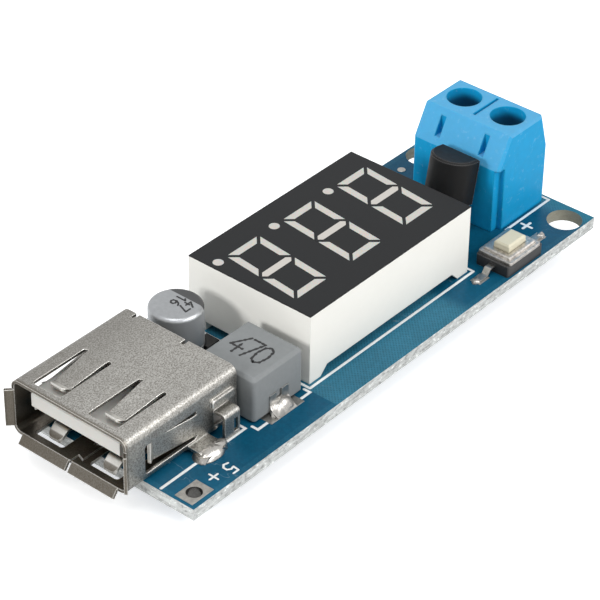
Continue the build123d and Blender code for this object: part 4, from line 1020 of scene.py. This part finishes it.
class CONVERTER_OT_board_print(Step, bpy.types.Operator):
    """White lines and signs printed on the board"""
    bl_idname = "converter.board_print"
    bl_label = "Board print"

    def build(self, scene):
        values = scene.converter_board
        ink = plastic("Board ink", values.ink, rough=(0.5, 0.6), relief=0.006 * MM, edge_wear_and_highlight=0.0, spread=0.08)
        low, high = board_high.z, board_high.z + values.ink_height
        lines = [[on_board(0.25, y), on_board(10.7, y), on_board(10.7, y + hook)]
                 for y, hook in ((3.82, 0.6), (19.68, -0.6))]
        gap = Vector((0.4 * MM, 0.4 * MM, 0))
        lines += frame_lines(case_low - gap, case_high + gap)
        lines += frame_lines(Vector((on_board(49.3, 0).x, clamp_low.y - gap.y)), clamp_high + gap)[:3]
        gap = Vector((0.25 * MM, 0.65 * MM, 0))
        near, far = coil_low - gap, coil_high + gap
        for x, turn in ((near.x, 1.25 * MM), (far.x, -1.25 * MM)):
            for y, rise in ((near.y, 0.65 * MM), (far.y, -0.65 * MM)):
                lines.append([Vector((x + turn, y)), Vector((x, y)), Vector((x, y + rise))])
        ink_strokes("board_print", lines, values.line, low, high, ink)
        signs = figures("5", on_board(6.35, 1.98), 1.35 * MM) + figures("+", on_board(4.72, 2.35), 1.75 * MM)
        ink_strokes("board_signs", signs, values.line * 0.7, low, high, ink)
        signs = figures("+", on_board(51.75, 4.95), 2.1 * MM) + figures("-", on_board(51.75, 17.1), 2.1 * MM)
        ink_strokes("input_signs", signs, values.line, low, high, ink)


class CONVERTER_OT_part_marks(Step, bpy.types.Operator):
    """Dark numbers on the inductor and on the capacitor"""
    bl_idname = "converter.part_marks"
    bl_label = "Part marks"

    def build(self, scene):
        ink = plastic("Mark black", (0.012, 0.012, 0.013, 1), rough=(0.45, 0.6), edge_wear_and_highlight=0.0, spread=0.2)
        height = 0.01 * MM
        number = figures("470", on_board(13.45, 8.6), 2.5 * MM, Vector((0, -1, 0)), Vector((1, 0, 0)),
                         spacing=0.66, step=0.1, slim=0.8)
        ink_strokes("inductor_number", number, 0.22 * MM, coil_high.z, coil_high.z + height, ink, waver=0.4)
        number = figures("47", on_board(15.72, 14.78), 0.95 * MM)
        number += figures("16", on_board(15.86, 15.9), 0.95 * MM)
        ink_strokes("capacitor_number", number, 0.17 * MM, can_high.z, can_high.z + height, ink, waver=0.15)


class CONVERTER_OT_stage(Step, bpy.types.Operator):
    """Floor, lamps, even light and camera"""
    bl_idname = "converter.stage"
    bl_label = "Stage"

    def build(self, scene):
        values = scene.converter_stage
        add_floor()
        add_world(values)
        add_lamp("Left lamp", (-0.9, 0.36, 0.36), 0.6, 0.16, values.left, mirrored=False)
        add_lamp("Right lamp", (0.25, -0.85, 0.68), 0.6, 0.35, values.right)
        add_lamp("Top lamp", (-0.3, -0.1, 1.0), 0.7, 0.4, values.over)
        add_camera()


# Stage

def add_floor():
    """A plain white floor that keeps the object's shadow."""
    work = bmesh.new()
    bmesh.ops.create_grid(work, x_segments=8, y_segments=8, size=3.0)
    floor = add_object("floor", as_mesh("floor", work))
    floor.location.z = cad_box[0].z - 0.1 * MM
    made = Finish("Floor white", Roughness=0.9)
    made.colour(made.blend(made.noise(made.place, 3), (0.90, 0.90, 0.90, 1), (0.93, 0.93, 0.93, 1)))
    rays = made.add("ShaderNodeLightPath").outputs
    mirrored = made.times(made.most(rays["Is Glossy Ray"], rays["Is Transmission Ray"]), 0.1)
    made.feed(made.shader.inputs["Emission Color"], (1, 1, 1, 1))
    made.feed(made.shader.inputs["Emission Strength"],
              made.line(rays["Is Camera Ray"], 0.5, mirrored))
    floor.data.materials.append(made.material)


def add_world(values):
    """Even light, white where the camera or a reflection sees it."""
    world = bpy.data.worlds.new("Even light")
    bpy.context.scene.world = world
    world.use_nodes = True
    work = Wiring(world.node_tree)
    back = world.node_tree.nodes["Background"].inputs
    rays = work.add("ShaderNodeLightPath").outputs
    seen = work.most(work.most(rays["Is Camera Ray"], rays["Is Glossy Ray"]), rays["Is Transmission Ray"])
    work.feed(back["Color"], (1, 1, 1, 1))
    work.feed(back["Strength"], work.line(seen, 1.0 - values.ambient, values.ambient))


def add_lamp(name, direction, distance, size, power, mirrored=True):
    """A square soft lamp that looks at the board's middle from a direction."""
    lamp = bpy.data.lights.new(name, "AREA")
    lamp.size = size
    lamp.energy = power
    holder = add_object(name, lamp)
    holder.visible_glossy = mirrored
    way = Vector(direction).normalized()
    holder.location = (board_low + board_high) / 2 + way * distance
    holder.rotation_euler = (-way).to_track_quat("-Z", "Y").to_euler()


def add_camera():
    """The camera stands where the photograph was taken."""
    lens = bpy.data.cameras.new("Camera")
    lens.lens = 155.08
    lens.sensor_width = 36.0
    lens.shift_x, lens.shift_y = 0.00745, -0.0029
    lens.clip_start, lens.clip_end = 0.01, 20.0
    camera = add_object("Camera", lens)
    right, up = Vector((0.64775, -0.76178, 0.01045)), Vector((0.43957, 0.38490, 0.81156))
    turn = Matrix((right, up, right.cross(up))).transposed()
    camera.matrix_world = Matrix.Translation(Vector((-0.144406, -0.119424, 0.139593))) @ turn.to_4x4()
    bpy.context.scene.camera = camera


# Panel and registration

OPERATORS = (
    CONVERTER_OT_stage, CONVERTER_OT_board, CONVERTER_OT_socket, CONVERTER_OT_capacitor,
    CONVERTER_OT_inductor, CONVERTER_OT_display, CONVERTER_OT_terminal, CONVERTER_OT_switch,
    CONVERTER_OT_regulator, CONVERTER_OT_small_parts, CONVERTER_OT_solder, CONVERTER_OT_tracks,
    CONVERTER_OT_board_print, CONVERTER_OT_part_marks,
)

GROUPS = {
    "converter_board": BoardFinish,
    "converter_metal": MetalFinish,
    "converter_plastic": PlasticFinish,
    "converter_stage": StageSettings,
}


class CONVERTER_PT_panel(bpy.types.Panel):
    """Lists the values and the steps"""
    bl_idname = "CONVERTER_PT_panel"
    bl_label = "Converter board"
    bl_space_type = "VIEW_3D"
    bl_region_type = "UI"
    bl_category = "Converter"

    def draw(self, context):
        for name, group in GROUPS.items():
            for value in group.__annotations__:
                self.layout.prop(getattr(context.scene, name), value)
        for step in OPERATORS:
            self.layout.operator(step.bl_idname)


def register():
    """Makes the values, the steps and the panel known."""
    for group in GROUPS.values():
        bpy.utils.register_class(group)
    for name, group in GROUPS.items():
        setattr(bpy.types.Scene, name, PointerProperty(type=group))
    for step in (*OPERATORS, CONVERTER_PT_panel):
        bpy.utils.register_class(step)


def unregister():
    """Takes them away again."""
    for step in (CONVERTER_PT_panel, *reversed(OPERATORS)):
        bpy.utils.unregister_class(step)
    for name in GROUPS:
        delattr(bpy.types.Scene, name)
    for group in reversed(GROUPS.values()):
        bpy.utils.unregister_class(group)


def main():
    """Builds everything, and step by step."""
    register()
    bpy.context.scene.view_settings.view_transform = "Standard"
    for step in OPERATORS:
        getattr(bpy.ops.converter, step.bl_idname.split(".")[1])()


if __name__ == "__main__":
    main()
